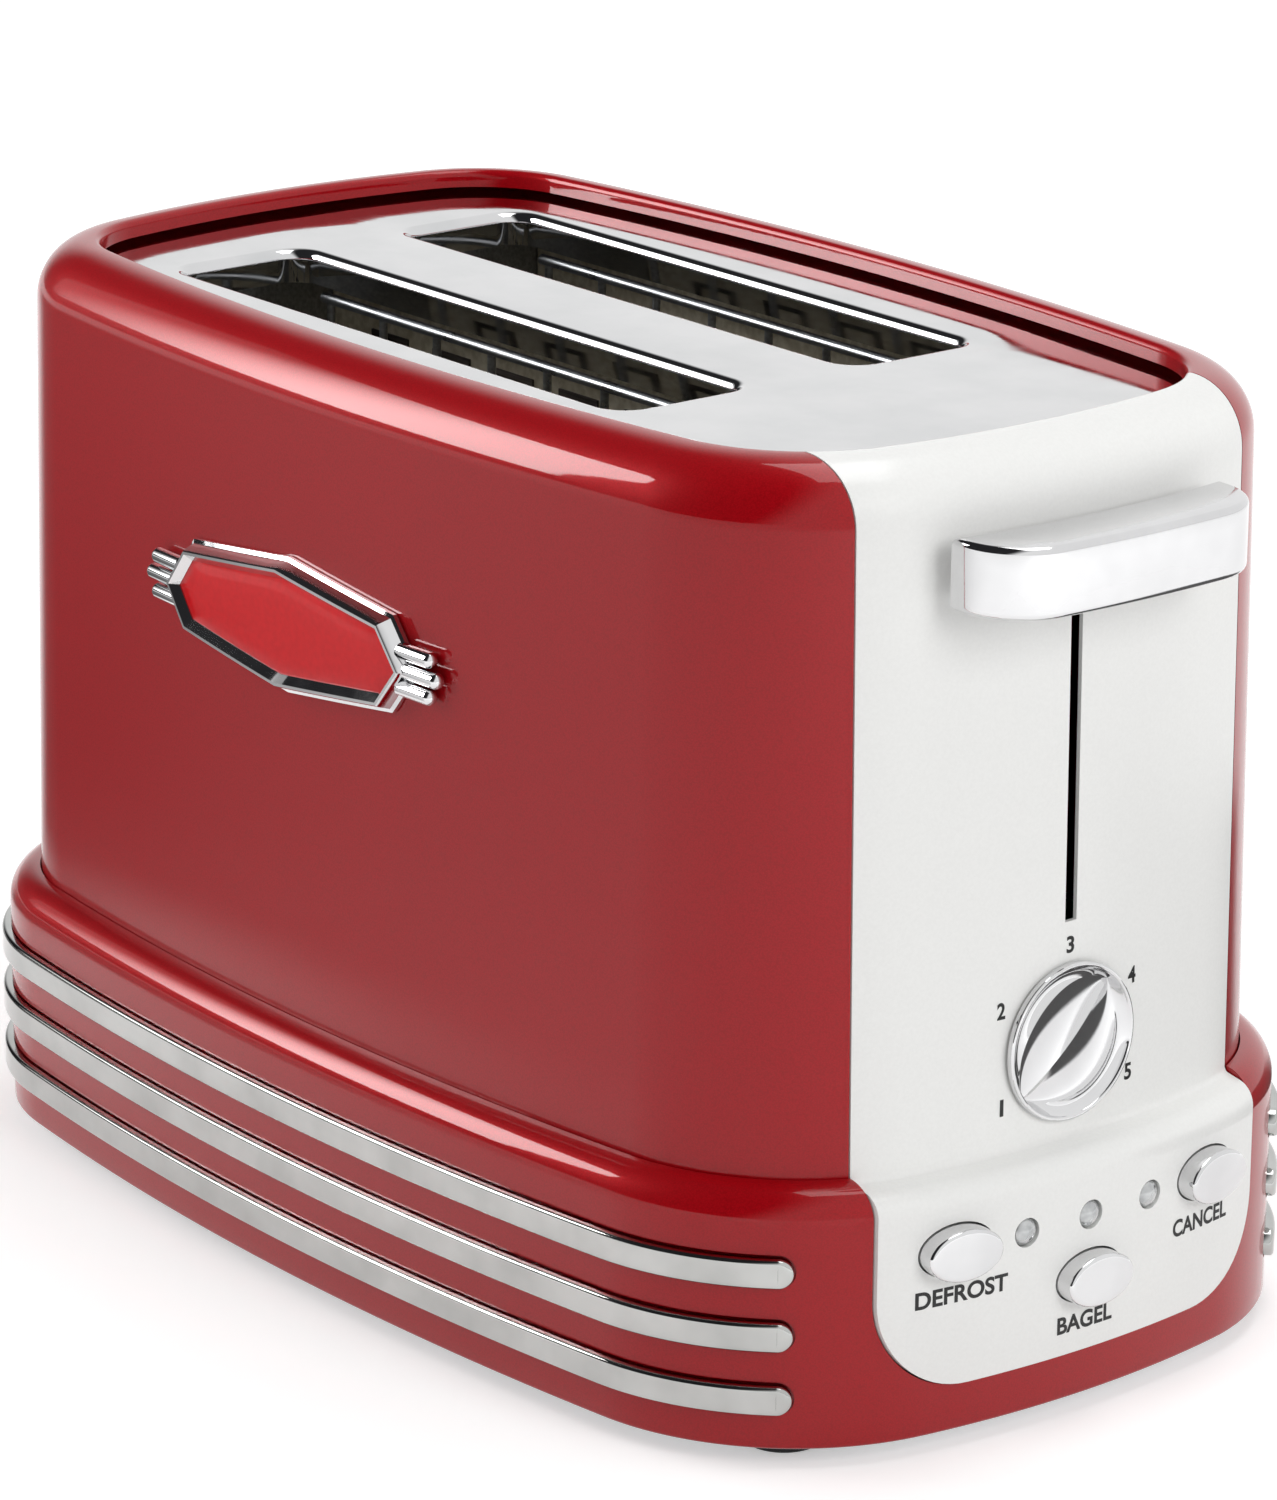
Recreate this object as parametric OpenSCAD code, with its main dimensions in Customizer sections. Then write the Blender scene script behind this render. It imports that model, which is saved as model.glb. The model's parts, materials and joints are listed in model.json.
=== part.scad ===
// Two-slice retro toaster: a red shell on a stepped skirt, with a white control panel on the front end.
// +X points out of the control panel, +Y to its right-hand side, +Z up; z = 0 is the table.

/* [Body] */
// Length of the body in front of the slots, to the crown of its front end
front_room = 84; // [80:1:96]
// Length of the body behind the slots, to the crown of its rear end
rear_room = 44; // [40:1:56]
// Width of the upper body at its foot
body_w = 164; // [154:1:176]
// Height of the rim above the table
body_h = 198.6; // [190:0.1:210]
// Radius of the corners beside the control panel
front_corner_r = 46; // [40:1:50]
// Radius of the rear corners
rear_corner_r = 40; // [36:1:46]
// Radius of the bowed ends
end_r = 224; // [200:1:260]
// Radius of the bowed long sides
side_r = 770; // [600:10:1000]
// Lean of the upper walls
draft = 0.7; // [0:0.1:1.5]
// Wall thickness of the upper housing
wall = 2; // [1.5:0.1:2.5]
// Radius of the rounded top edge
rim_r = 12.5; // [10:0.5:14]
// Radius of the rim's inner edge
rim_edge_r = 1.5; // [1:0.1:2]
// Depth of the rim's turned-down lip
rim_lip = 3.8; // [3:0.1:4.4]
// Gap between shells that meet
seam = 0.3; // [0.2:0.05:0.5]

/* [Skirt] */
// Height of the skirt's lower edge above the table
foot_gap = 4; // [3:0.5:8]
// How far the skirt stands out from the upper body
skirt_out = 7; // [5:0.5:7]
// Height of the skirt's straight wall
skirt_h = 46.5; // [45:0.5:48]
// Height of the rounded shoulder above the straight wall
shoulder_h = 7; // [7:0.5:9]
// Wall thickness of the skirt
skirt_t = 2.2; // [1.8:0.1:3]
// How far the upper housing runs down inside the skirt
housing_tuck = 12; // [8:1:20]

/* [Bands] */
// Height of a trim band
band_h = 6; // [4:0.5:8]
// How far a trim band stands out of the skirt
band_out = 1.8; // [1.4:0.1:2.8]
// How far a trim band's back is set in from its edges
band_inset = 0.6; // [0.3:0.1:1]
// Distance between trim bands
band_pitch = 13.2; // [10:0.1:13.5]
// Height of the lowest band above the skirt's lower edge
band_low = 7.7; // [7.7:0.1:9]
// Where the bands end on the front corners, as an angle from the length
band_end = 39; // [36:1:60]

/* [Control panel] */
// Width of the panel
panel_w = 100; // [94:1:106]
// Thickness of the panel
panel_t = 2.2; // [1.8:0.1:2.6]
// Height of the skirt below the panel's tongue
tongue_gap = 10; // [8:0.5:12]
// Radius of the tongue's lower corners
tongue_r = 20; // [10:1:24]
// How far the tongue stands out of the skirt
tongue_out = 0.8; // [0.4:0.1:1.5]
// Radius of the tongue's rounded shoulder
tongue_shoulder_r = 4.5; // [4:0.1:5]
// Radius of the hollow between the shoulder and the upper wall
hollow_r = 1.2; // [1:0.1:2]
// How far the ledge between them leans from upright, in degrees
ledge_deg = 80; // [75:1:84]

/* [Slots] */
// Length of a bread slot
slot_l = 152; // [140:1:160]
// Width of a bread slot
slot_w = 33; // [30:0.5:36]
// Distance between the two slots
slot_gap = 27; // [24:0.5:30]
// Radius of the slots' corners
slot_r = 6; // [3:0.5:10]
// Depth of the top plate below the rim
plate_drop = 5.2; // [4.2:0.1:6]
// Thickness of the top plate
plate_t = 1.2; // [0.8:0.1:1.6]
// Overlap of the top plate under the rim
plate_under = 5; // [3:0.5:6]
// Depth of the turned-down edges of the slots
flange_h = 6; // [4:0.5:8]

/* [Lever] */
// Distance from the rim to the lever's middle at rest
lever_drop = 21.1; // [20:0.1:24]
// Height of the lever's middle when it is down
lever_low = 107.5; // [106:0.5:112]
// Length of the handle's front between its round corners
handle_flat = 42; // [36:1:48]
// Height of the handle
handle_h = 14.3; // [10:0.1:16]
// Depth of the handle at its middle
handle_d = 15.3; // [14:0.1:16]
// Gap between the panel and the handle's back
handle_gap = 4.7; // [3:0.1:6]
// Radius of the handle's bowed front
handle_front_r = 300; // [200:10:400]
// Radius of the handle's corners
handle_corner_r = 14.5; // [10:0.5:15]
// How far the handle's ends turn from its front, in degrees
handle_slant = 88; // [70:1:89]
// Thickness of the lever arm
arm_t = 2; // [1.5:0.1:2.2]
// Height of the lever arm
arm_h = 6.4; // [6:0.2:9]
// Depth of the socket that holds the arm in the handle
arm_socket = 5; // [3:0.5:6]
// Gap on each side of the arm in the panel's slot
arm_gap = 0.5; // [0.4:0.1:1]
// Run of the slot below the arm's lowest place
slot_run = 3.3; // [0.5:0.1:3.6]

/* [Knob and buttons] */
// Diameter of the knob's flange
knob_d = 32.6; // [30:0.1:34]
// How far the knob's flange stands out of the panel
knob_out = 1.2; // [0.8:0.1:1.6]
// Diameter of the knob's body, which turns in the panel
knob_body_d = 30; // [28:0.1:30.6]
// Depth of the knob's body behind the panel's face
knob_depth = 5.2; // [5:0.1:5.6]
// Depth of the bowl in the knob's front
bowl_d = 5; // [3:0.1:5.2]
// Diameter of the bowl at the front
bowl_w = 30.6; // [28:0.1:31]
// Width of the grip across the bowl
grip_w = 22; // [18:0.5:24]
// Thickness of the grip's ridge over the shaft's bore
bore_cover = 2.2; // [2:0.1:3]
// Pointing angle of the grip's ridge, clockwise from straight up
knob_angle = 47; // [0:1:90]
// Height of the knob's axis
knob_z = 76.4; // [74:0.1:80]
// Diameter of the potentiometer's shaft
shaft_d = 6; // [5:0.5:6]
// Diameter of the knob's hub
hub_d = 10; // [9:0.5:11]
// Length of the hub behind the panel's face
hub_l = 6; // [5.8:0.1:6]
// Width of a button
button_w = 17; // [14:0.5:20]
// Height of a button
button_h = 10.7; // [9:0.1:13]
// How far a button stands out of the panel
button_out = 4.2; // [3:0.1:6]
// Travel of a button
button_travel = 1.5; // [1:0.1:2]
// Distance from the side of the panel to the middle of an outer button
button_inset = 16.8; // [15:0.1:18]
// Height of the outer buttons
button_z = 42.4; // [41:0.1:44]
// Height of the middle button
low_button_z = 29.6; // [28:0.1:31]
// Thickness of the collar that keeps a button in the panel
collar_t = 1.5; // [1:0.1:1.6]
// Gap between the collar and the panel's inner face
collar_play = 2; // [1.8:0.1:2.4]
// Diameter of a button's stem
stem_d = 5; // [4:0.1:6]
// Diameter of an indicator lens
lens_d = 5.6; // [5:0.1:8]
// How far a lens stands out of the panel
lens_out = 1.2; // [0.6:0.1:2]
// Distance between the lenses
lens_pitch = 16.4; // [15:0.1:18]
// Height of the lenses
lens_z = 42.3; // [41:0.1:44]

/* [Badge] */
// Length of the badge's frame
badge_l = 81; // [72:1:90]
// Height of the badge's frame
badge_h = 25; // [22:0.5:28]
// Thickness of the frame
badge_t = 4.4; // [4:0.1:5]
// Width of the frame's border
badge_border = 2.4; // [1.5:0.1:3]
// Length of the frame between its end corners
badge_flat = 67.5; // [60:0.5:70]
// Height of the frame at its end corners
badge_end_h = 17; // [14:0.5:20]
// Depth of the enamel below the frame's face
enamel_drop = 0.8; // [0.4:0.1:1.2]
// Length of the bars at each end of the badge
bar_l = 10; // [8:0.5:14]
// How much shorter the outer bars reach than the middle one
bar_step = 2; // [1:0.5:3]
// Diameter of the bars
bar_d = 3.4; // [2.6:0.1:3.6]
// Distance between the bars
bar_pitch = 3.8; // [3.7:0.1:5]
// Middle of the badge along the body
badge_x = -6; // [-20:1:10]
// Height of the badge's middle
badge_z = 141.5; // [120:0.5:150]

/* [Base] */
// Thickness of the base plate
base_t = 1.5; // [1.2:0.1:2]
// Height of the base plate above the skirt's lower edge
base_lift = 0.5; // [0:0.1:1]
// Diameter of a foot
foot_d = 17; // [12:0.5:20]
// Diameter of a foot's neck
foot_neck_d = 6; // [5:0.5:8]
// Distance of the feet from the crowns of the ends
foot_inset = 20; // [18:0.5:24]
// Distance of the feet from the middle, across the body
foot_y = 55; // [54:0.5:57]
// Width of the crumb tray
tray_w = 86; // [70:1:87]
// Depth of the crumb tray
tray_h = 4.2; // [3:0.1:4.3]
// Sheet thickness of the crumb tray
tray_t = 0.8; // [0.6:0.1:1]
// Thickness of the tray's handle strip
grip_t = 1.6; // [1.4:0.1:1.6]
// Running gap around the tray and the other sliding pieces
slide_gap = 0.3; // [0.3:0.05:0.4]
// Bore of the cord gland
cord_d = 7.2; // [6:0.1:8]
// Diameter of the gland's neck
gland_d = 12; // [11:0.5:14]
// Diameter of the gland's outer flange
gland_flange_d = 18; // [16:0.5:22]
// Thickness of the gland's flanges
gland_t = 3; // [2:0.5:4]
// Height of the gland
gland_z = 70; // [68:1:90]
// Length of the terminal block
terminal_l = 36; // [30:1:40]
// Height and depth of the terminal block
terminal_h = 12; // [10:0.5:14]

/* [Chassis] */
// Sheet thickness of the end plates and brackets
sheet_t = 1.2; // [1:0.1:1.5]
// Distance from a slot's end to its end plate
end_gap = 6; // [5:0.5:8]
// Width of the end plates
end_w = 128; // [124:1:132]
// Width of a fixing flange
flange_w = 10; // [8:0.5:10.5]
// Thickness of a heater board
mica_t = 1; // [0.8:0.1:1.5]
// Distance of the outer heater boards from the middle
heater_y = 57; // [56:0.5:58]
// Distance of the side reflectors from the middle
reflector_y = 62; // [61:0.5:63]
// Height of the heater boards' lower edge
heater_low = 14; // [12:1:20]
// Distance between the heater ribbon's runs
ribbon_pitch = 11; // [8:0.5:14]
// Width of the heater ribbon
ribbon_w = 2; // [1.5:0.1:2.5]
// Thickness of the heater ribbon
ribbon_t = 0.5; // [0.4:0.1:0.8]
// Height of the guides' hinge rods
hinge_z = 52; // [48:1:54]
// Diameter of a guide's hinge rod
hinge_d = 3; // [2.4:0.2:3.4]
// Diameter of a guide's upper rod
guide_rail_d = 2.4; // [2:0.1:2.8]
// Diameter of a guide's upright wires
guide_wire_d = 1.8; // [1.4:0.1:2]
// Distance between a guide's upright wires
guide_pitch = 19; // [14:1:24]
// Distance of a guide's wires from the slot's edge
guide_gap = 0.4; // [0.3:0.1:1]
// Gap around a hinge rod in its hole
pivot_gap = 0.15; // [0.1:0.05:0.3]

/* [Carriage] */
// Distance from the rim to the lifters' upper face at rest
lift_drop = 65.6; // [60:0.1:68]
// Width of a lifter's cross fingers
lifter_w = 22; // [16:1:24]
// Width of a lifter's spine
spine_w = 8; // [6:0.5:10]
// Length of a lifter's cross finger
finger_l = 4; // [3:0.5:6]
// Width of the carriage bracket
carriage_w = 84; // [78:1:90]
// Height of the carriage bracket
carriage_h = 24; // [22:1:25]
// Height of the carriage bracket above the lifters
carriage_rise = 17; // [15:0.5:20]
// Distance from the front end plate to the carriage bracket
carriage_gap = 6.8; // [5:0.1:8]
// Distance from the carriage bracket to the guide rod
rod_gap = 9; // [8:0.5:10]
// Diameter of the guide rod
rod_d = 5; // [4:0.5:6]
// Distance of the guide rod and the spring from the middle
rod_y = 18; // [16:0.5:20]
// Side of the slide bush
bush_w = 14; // [11:0.5:15]
// Mean diameter of the return spring
spring_d = 8; // [6:0.5:10]
// Wire diameter of the return spring
spring_wire = 1; // [0.8:0.1:1.2]
// Turns of the return spring
spring_turns = 14; // [10:1:16]
// Length of the latch plate
latch_l = 32; // [28:1:34]
// Width of the latch plate and of the magnet's bracket
latch_w = 16; // [14:1:18]
// Diameter of the magnet's core
core_d = 8; // [6:0.5:9]
// Diameter of the magnet's coil
coil_d = 15; // [13:0.5:15.5]
// Height of the magnet's coil
coil_h = 18; // [14:0.5:20]

/* [Control board] */
// Distance from the crown of the front end to the control board's front
board_gap = 15.4; // [15:0.1:18]
// Width of the control board
board_w = 80; // [76:1:84]
// Height of the control board's upper edge
board_top = 98; // [96:0.5:99]
// Height of the control board's lower edge
board_low = 16; // [14:0.5:20]
// Thickness of the control board
board_t = 1.6; // [1.2:0.1:2]
// Length of the board's stand-offs
standoff_l = 1.8; // [1.5:0.1:3]
// Distance of the board's screws from its edges
board_inset = 5; // [4.5:0.1:6]
// Diameter of the screws
screw_d = 3; // [2.5:0.1:3.5]
// Diameter of the screw heads
screw_head_d = 6; // [5.5:0.1:7]
// Height of the screw heads
screw_head_h = 1.3; // [1:0.1:1.6]
// Gap around pieces that are screwed or pushed together
fit_gap = 0.1; // [0.05:0.05:0.2]
// Side of the potentiometer
pot_w = 18; // [16:0.5:20]
// Depth of the potentiometer
pot_d = 7; // [6:0.1:7]
// Length of the potentiometer's bush
pot_bush_l = 1.8; // [1:0.1:2]
// Side of a button switch
switch_w = 6; // [5:0.5:7]
// Depth of a button switch
switch_d = 3.6; // [3:0.1:4.3]

/* [Hidden] */
$fn = 72;

// Lengths and heights that several pieces share
half_l = (front_room + slot_l + rear_room) / 2;
half_w = body_w / 2;
slot_front = half_l - front_room;
lever_z = body_h - lever_drop;
lever_travel = lever_z - lever_low;
lift_z = body_h - lift_drop;
straight_z = foot_gap + skirt_h;
crease_z = straight_z + shoulder_h;
rim_z = body_h - rim_r;
plate_z = body_h - plate_drop;
plate_low = plate_z - plate_t;
tongue_z = foot_gap + tongue_gap;
base_low = foot_gap + base_lift;
base_z = base_low + base_t;

// Places along the body that several pieces share
front_plate_x = slot_front + end_gap;
rear_plate_x = slot_front - slot_l - end_gap;
board_x = half_l - board_gap;
board_back = board_x - board_t;
bracket_front = board_back - standoff_l;
bracket_x = bracket_front - sheet_t;

// Lean of the upper wall, as an offset from the plan outline, and the offset of the rim's crown
function wall_off(z) = -(z - crease_z) * tan(draft);
rim_off = wall_off(rim_z) - rim_r;

// Plan outline: bowed ends and sides with round corners, each tangent to its neighbours.
// A corner's centre lies where two circles cross, one about the end's centre and one about the side's.
end_c = [half_l - end_r, 0];
side_c = [0, half_w - side_r];
function corner_c(r) =
  let (p = end_r - r, q = side_r - r, d = norm(side_c - end_c), u = (side_c - end_c) / d)
  let (k = (d * d + p * p - q * q) / (2 * d), h = sqrt(p * p - k * k))
  end_c + k * u + h * [-u.y, u.x];
function bearing(from, to) = atan2(to.y - from.y, to.x - from.x);
front_c = corner_c(front_corner_r);
rear_c = corner_c(rear_corner_r);
front_end_deg = bearing(end_c, front_c);
front_side_deg = bearing(side_c, front_c);
rear_end_deg = bearing(end_c, rear_c);
rear_side_deg = bearing(side_c, rear_c);

// Angle on the front corner where the panel's edge, in the plane y = panel_w / 2, crosses an offset
panel_half = panel_w / 2;
housing_edge = panel_half + seam;
function edge_deg(off) = asin((housing_edge - front_c.y) / (front_corner_r + off));

// A station is [centre, radius, angle, edge share, x sign, y sign]; its point lies at an offset
function span(c, r, a, b, n, edge_a, sx, keep_last) =
  [for (i = [0 : n - (keep_last ? 0 : 1)]) [c, r, a + (b - a) * i / n, edge_a * (1 - i / n), sx, 1]];
function at(s, off) =
  let (t = s[2] + s[3] * (edge_deg(off) - edge_deg(0)), p = s[0] + (s[1] + off) * [cos(t), sin(t)])
  [s[4] * p.x, s[5] * p.y];
function other_side(s) = [for (i = [len(s) - 1 : -1 : 0]) [s[i][0], s[i][1], s[i][2], s[i][3], s[i][4], -1]];

// Steps along the corners, sides and ends
corner_n = 9;
side_n = 4;
end_n = 4;
function flank(from, edge) = concat(
  span(front_c, front_corner_r, from, front_side_deg, corner_n, edge, 1, false),
  span(side_c, side_r, front_side_deg, 90, side_n, 0, 1, false),
  span(side_c, side_r, 90, rear_side_deg, side_n, 0, -1, false),
  span(rear_c, rear_corner_r, rear_side_deg, rear_end_deg, corner_n, 0, -1, false),
  span(end_c, end_r, rear_end_deg, 0, end_n, 0, -1, true));
function mirror_side(s, n) = concat(s, other_side([for (i = [0 : n]) s[i]]));
function open_path(from, edge) = let (s = flank(from, edge)) mirror_side(s, len(s) - 2);
function ring_path() =
  let (s = concat(span(end_c, end_r, 0, front_end_deg, end_n, 0, 1, false), flank(front_end_deg, 0)))
  concat(s, other_side([for (i = [1 : len(s) - 2]) s[i]]));
function ring_points(off) = [for (s = ring_path()) at(s, off)];

// Where the front and rear ends cross a line at y, at an offset from the outline
function end_x(y, off) =
  abs(y) <= (end_r + off) * sin(front_end_deg)
  ? end_c.x + sqrt(pow(end_r + off, 2) - y * y)
  : front_c.x + sqrt(pow(front_corner_r + off, 2) - pow(abs(y) - front_c.y, 2));

// A closed skin through rows of points: each row runs along the outer face and back along the inner one
module loft(rows, closed) {
  n = len(rows[0]);
  m = len(rows);
  half = n / 2;
  skin = [for (i = [0 : m - (closed ? 1 : 2)], j = [0 : n - 1])
    let (k = (j + 1) % n, far = ((i + 1) % m) * n)
    let (a = i * n + j, b = i * n + k, c = far + k, d = far + j)
    each [[a, b, c], [a, c, d]]];
  cap = [for (j = [0 : half - 2]) let (k = n - 1 - j) each [[j, k, j + 1], [j + 1, k, k - 1]]];
  last = (m - 1) * n;
  far_cap = [for (f = cap) [f[2] + last, f[1] + last, f[0] + last]];
  polyhedron(points = [for (r = rows) each r], faces = closed ? skin : concat(skin, cap, far_cap));
}
function loop(outer, inner) = concat(outer, [for (i = [len(inner) - 1 : -1 : 0]) inner[i]]);
module shell(path, outer, inner, closed) {
  section = loop(outer, inner);
  loft([for (s = path) [for (q = section) let (p = at(s, q.x)) [p.x, p.y, q.y]]], closed);
}

// Points of the rounded rim, outside and inside, for a wall of thickness t
rim_n = 6;
edge_n = 3;
lip_z = body_h - rim_lip;
function rim_outer() = concat(
  [for (i = [0 : rim_n]) [rim_off, rim_z] + rim_r * [cos(90 * i / rim_n), sin(90 * i / rim_n)]],
  [for (i = [1 : edge_n]) let (t = 90 + 90 * i / edge_n)
    [rim_off, body_h - rim_edge_r] + rim_edge_r * [cos(t), sin(t)]],
  [[rim_off - rim_edge_r, lip_z]]);
function rim_inner(t) = concat(
  [for (i = [0 : rim_n]) [rim_off, rim_z] + (rim_r - t) * [cos(90 * i / rim_n), sin(90 * i / rim_n)]],
  [for (i = [1 : edge_n + 1]) [rim_off, body_h - t - (rim_lip - t) * i / (edge_n + 1)]]);

// The part's box is centred on the origin, from the handle's front to the bands at the rear
panel_x = half_l + wall_off(lever_z);
handle_back = panel_x + handle_gap;
handle_front = handle_back + handle_d;
band_back = seam / 2;
rear_reach = half_l + skirt_out + band_back + band_out;
module placed() { translate([(rear_reach - handle_front) / 2, 0, 0]) children(); }

// Places on the control panel: the child's +Z points straight out of the panel's face
function panel_deg(y, off) = asin(y / (end_r + off));
module on_panel(y, z, off) {
  translate([end_x(y, off), y, z]) rotate([0, 0, panel_deg(y, off)]) rotate([0, 90, 0]) children();
}
module drilled(x, y, low, d, h) { translate([x, y, low]) cylinder(d = d, h = h); }
module along_x(x, y, z, d, l) { translate([x, y, z]) rotate([0, 90, 0]) cylinder(d = d, h = l); }
module block(low, high) { translate(low) cube(high - low); }

// Upper housing, with its rim and the hole for the cord gland
housing_low = crease_z - housing_tuck;
module upper_housing() {
  color("#A5121C") placed() difference() {
    shell(
      open_path(edge_deg(0), 1),
      concat([[wall_off(housing_low), housing_low]], rim_outer()),
      concat([[wall_off(housing_low) - wall, housing_low]], rim_inner(wall)),
      false);
    at_gland() translate([0, 0, -gland_reach]) cylinder(d = gland_d + 2 * seam, h = 2 * gland_reach);
  }
}

// Base skirt, cut away for the panel's tongue and the crumb tray
shoulder_r = (skirt_out * skirt_out + shoulder_h * shoulder_h) / (2 * skirt_out);
shoulder_n = 5;
function shoulder(r, reach, off) = [for (i = [0 : shoulder_n])
  let (t = asin(reach / r) * i / shoulder_n) [off - r + r * cos(t), straight_z + r * sin(t)]];
inner_r = shoulder_r - skirt_t;
inner_reach = sqrt(inner_r * inner_r - pow(shoulder_r - skirt_out + seam, 2));
outer_reach = sqrt(shoulder_r * shoulder_r - pow(shoulder_r - skirt_out + seam, 2));
notch_h = base_z + slide_gap + tray_h + slide_gap;
module tongue_shape(gap) {
  r = tongue_r + gap;
  low = tongue_z - gap;
  half = panel_half + gap;
  intersection() {
    union() {
      for (s = [-1, 1]) translate([s * (half - r), low + r]) circle(r);
      translate([-(half - r), low]) square([2 * (half - r), 2 * r]);
      translate([-half, low + r]) square([2 * half, body_h]);
    }
    translate([-half, low]) square([2 * half, body_h]);
  }
}
module base_skirt() {
  color("#A5121C") placed() difference() {
    shell(
      ring_path(),
      concat([[skirt_out, foot_gap]], shoulder(shoulder_r, outer_reach, skirt_out)),
      concat([[skirt_out - skirt_t, foot_gap]], shoulder(inner_r, inner_reach, skirt_out - skirt_t)),
      true);
    translate([end_x(panel_half, 0) - 2 * skirt_out, 0, 0]) rotate([90, 0, 90])
      linear_extrude(half_l) tongue_shape(seam);
    block([-2 * half_l, -tray_w / 2 - slide_gap, 0], [rear_plate_x, tray_w / 2 + slide_gap, notch_h]);
  }
}

// Control panel: upper wall, ledge with a rounded shoulder, and a tongue with round lower corners
tongue_off = skirt_out + tongue_out;
panel_n = 24;
tongue_n = 6;
ledge_n = 4;
function tongue_half(z) =
  z >= tongue_z + tongue_r ? panel_half
  : panel_half - tongue_r + sqrt(max(0, tongue_r * tongue_r - pow(tongue_z + tongue_r - z, 2)));
ledge_bend = tongue_shoulder_r + hollow_r;
ledge_l = (tongue_off - ledge_bend * (1 - cos(ledge_deg))) / sin(ledge_deg);
ledge_z = crease_z - ledge_bend * sin(ledge_deg) - ledge_l * cos(ledge_deg);
// The panel's section below the upper wall, moved in by a depth
function panel_face(depth) = concat(
  [for (i = [0 : tongue_n]) [tongue_off - depth, tongue_z + tongue_r * (1 - cos(90 * i / tongue_n))]],
  [for (i = [0 : ledge_n]) let (t = ledge_deg * i / ledge_n)
    [tongue_off - tongue_shoulder_r, ledge_z] + (tongue_shoulder_r - depth) * [cos(t), sin(t)]],
  [for (i = [0 : ledge_n]) let (t = ledge_deg * (1 - i / ledge_n))
    [hollow_r, crease_z] - (hollow_r + depth) * [cos(t), sin(t)]]);
module control_panel() {
  outer = concat(panel_face(0), rim_outer());
  inner = concat(panel_face(panel_t), rim_inner(panel_t));
  section = loop(outer, inner);
  color("#F0F0EE") placed() difference() {
    loft([for (i = [-panel_n / 2 : panel_n / 2])
      [for (q = section) let (y = tongue_half(q.y) * 2 * i / panel_n) [end_x(y, q.x), y, q.y]]], false);
    block(
      [front_plate_x, -arm_t / 2 - arm_gap, lever_low - arm_h / 2 - slot_run],
      [2 * half_l, arm_t / 2 + arm_gap, lever_z + arm_h / 2 + arm_gap]);
    at_knob() translate([0, 0, -hub_l]) cylinder(d = knob_body_d + 2 * slide_gap, h = 2 * hub_l);
    for (b = buttons) on_panel(b.x, b.y, tongue_off) translate([0, 0, -hub_l])
      linear_extrude(2 * hub_l) oval(slide_gap);
    for (y = lens_ys) on_panel(y, lens_z, tongue_off) translate([0, 0, -hub_l])
      cylinder(d = lens_d + 2 * fit_gap, h = 2 * hub_l);
  }
}

// Top plate with two slots and their turned-down edges
slot_mid_y = (slot_gap + slot_w) / 2;
slot_mid_x = slot_front - slot_l / 2;
module slot_shape(grow) {
  r = slot_r + grow;
  l = slot_l + 2 * grow;
  w = slot_w + 2 * grow;
  square([l - 2 * r, w], center = true);
  square([l, w - 2 * r], center = true);
  for (sx = [-1, 1], sy = [-1, 1]) translate([sx * (l / 2 - r), sy * (w / 2 - r)]) circle(r);
}
module top_plate() {
  color("#D9DADC") placed() difference() {
    union() {
      translate([0, 0, plate_low]) linear_extrude(plate_t) polygon(ring_points(rim_off + plate_under));
      for (s = [-1, 1]) translate([slot_mid_x, s * slot_mid_y, plate_low - flange_h])
        linear_extrude(flange_h + plate_t / 2) slot_shape(plate_t);
    }
    for (s = [-1, 1]) translate([slot_mid_x, s * slot_mid_y, plate_low - 2 * flange_h])
      linear_extrude(3 * flange_h) slot_shape(0);
  }
}

// Trim bands: a round-faced strip round the sides and the rear
band_n = 4;
module band(i) {
  low = foot_gap + band_low + i * band_pitch;
  mid = low + band_h / 2;
  off = skirt_out + band_back;
  color("#D9DADC") placed() shell(
    open_path(band_end, 0),
    [for (k = [0 : band_n]) let (t = -90 + 180 * k / band_n)
      [off + band_out / 2 * (1 + cos(t)), mid + band_h / 2 * sin(t)]],
    [for (k = [0 : band_n]) [off, low + band_inset + (band_h - 2 * band_inset) * k / band_n]],
    false);
}
module upper_band() { band(2); }
module middle_band() { band(1); }
module lower_band() { band(0); }

// Badge on the near side: a framed enamel plate with bars at its ends
badge_y = -(side_c.y + sqrt(pow(side_r + wall_off(badge_z), 2) - badge_x * badge_x)) - seam;
module at_badge() { placed() translate([badge_x, badge_y, badge_z]) rotate([90, 0, 0]) children(); }
end_corner = [badge_flat, badge_end_h] / 2;
octagon_corners = [for (s = [1, -1]) each [
  s * [badge_l / 2, 0], s * end_corner, s * [0, badge_h / 2], s * [-end_corner.x, end_corner.y]]];
// The octagon with its sides moved in by a distance
module octagon(inset) {
  p = octagon_corners;
  n = len(p);
  normal = [for (i = [0 : n - 1]) let (e = p[(i + 1) % n] - p[i]) [e.y, -e.x] / norm(e)];
  polygon([for (i = [0 : n - 1]) let (a = normal[(i + n - 1) % n], b = normal[i])
    p[i] - inset * (a + b) / (1 + a * b)]);
}
module badge_frame() {
  color("#D9DADC") at_badge() difference() {
    linear_extrude(badge_t) octagon(0);
    translate([0, 0, badge_t / 2]) linear_extrude(badge_t) octagon(badge_border);
  }
}
module badge_enamel() {
  color("#B3101A") at_badge() translate([0, 0, badge_t / 2])
    linear_extrude(badge_t / 2 - enamel_drop) octagon(badge_border + fit_gap);
}
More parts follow.
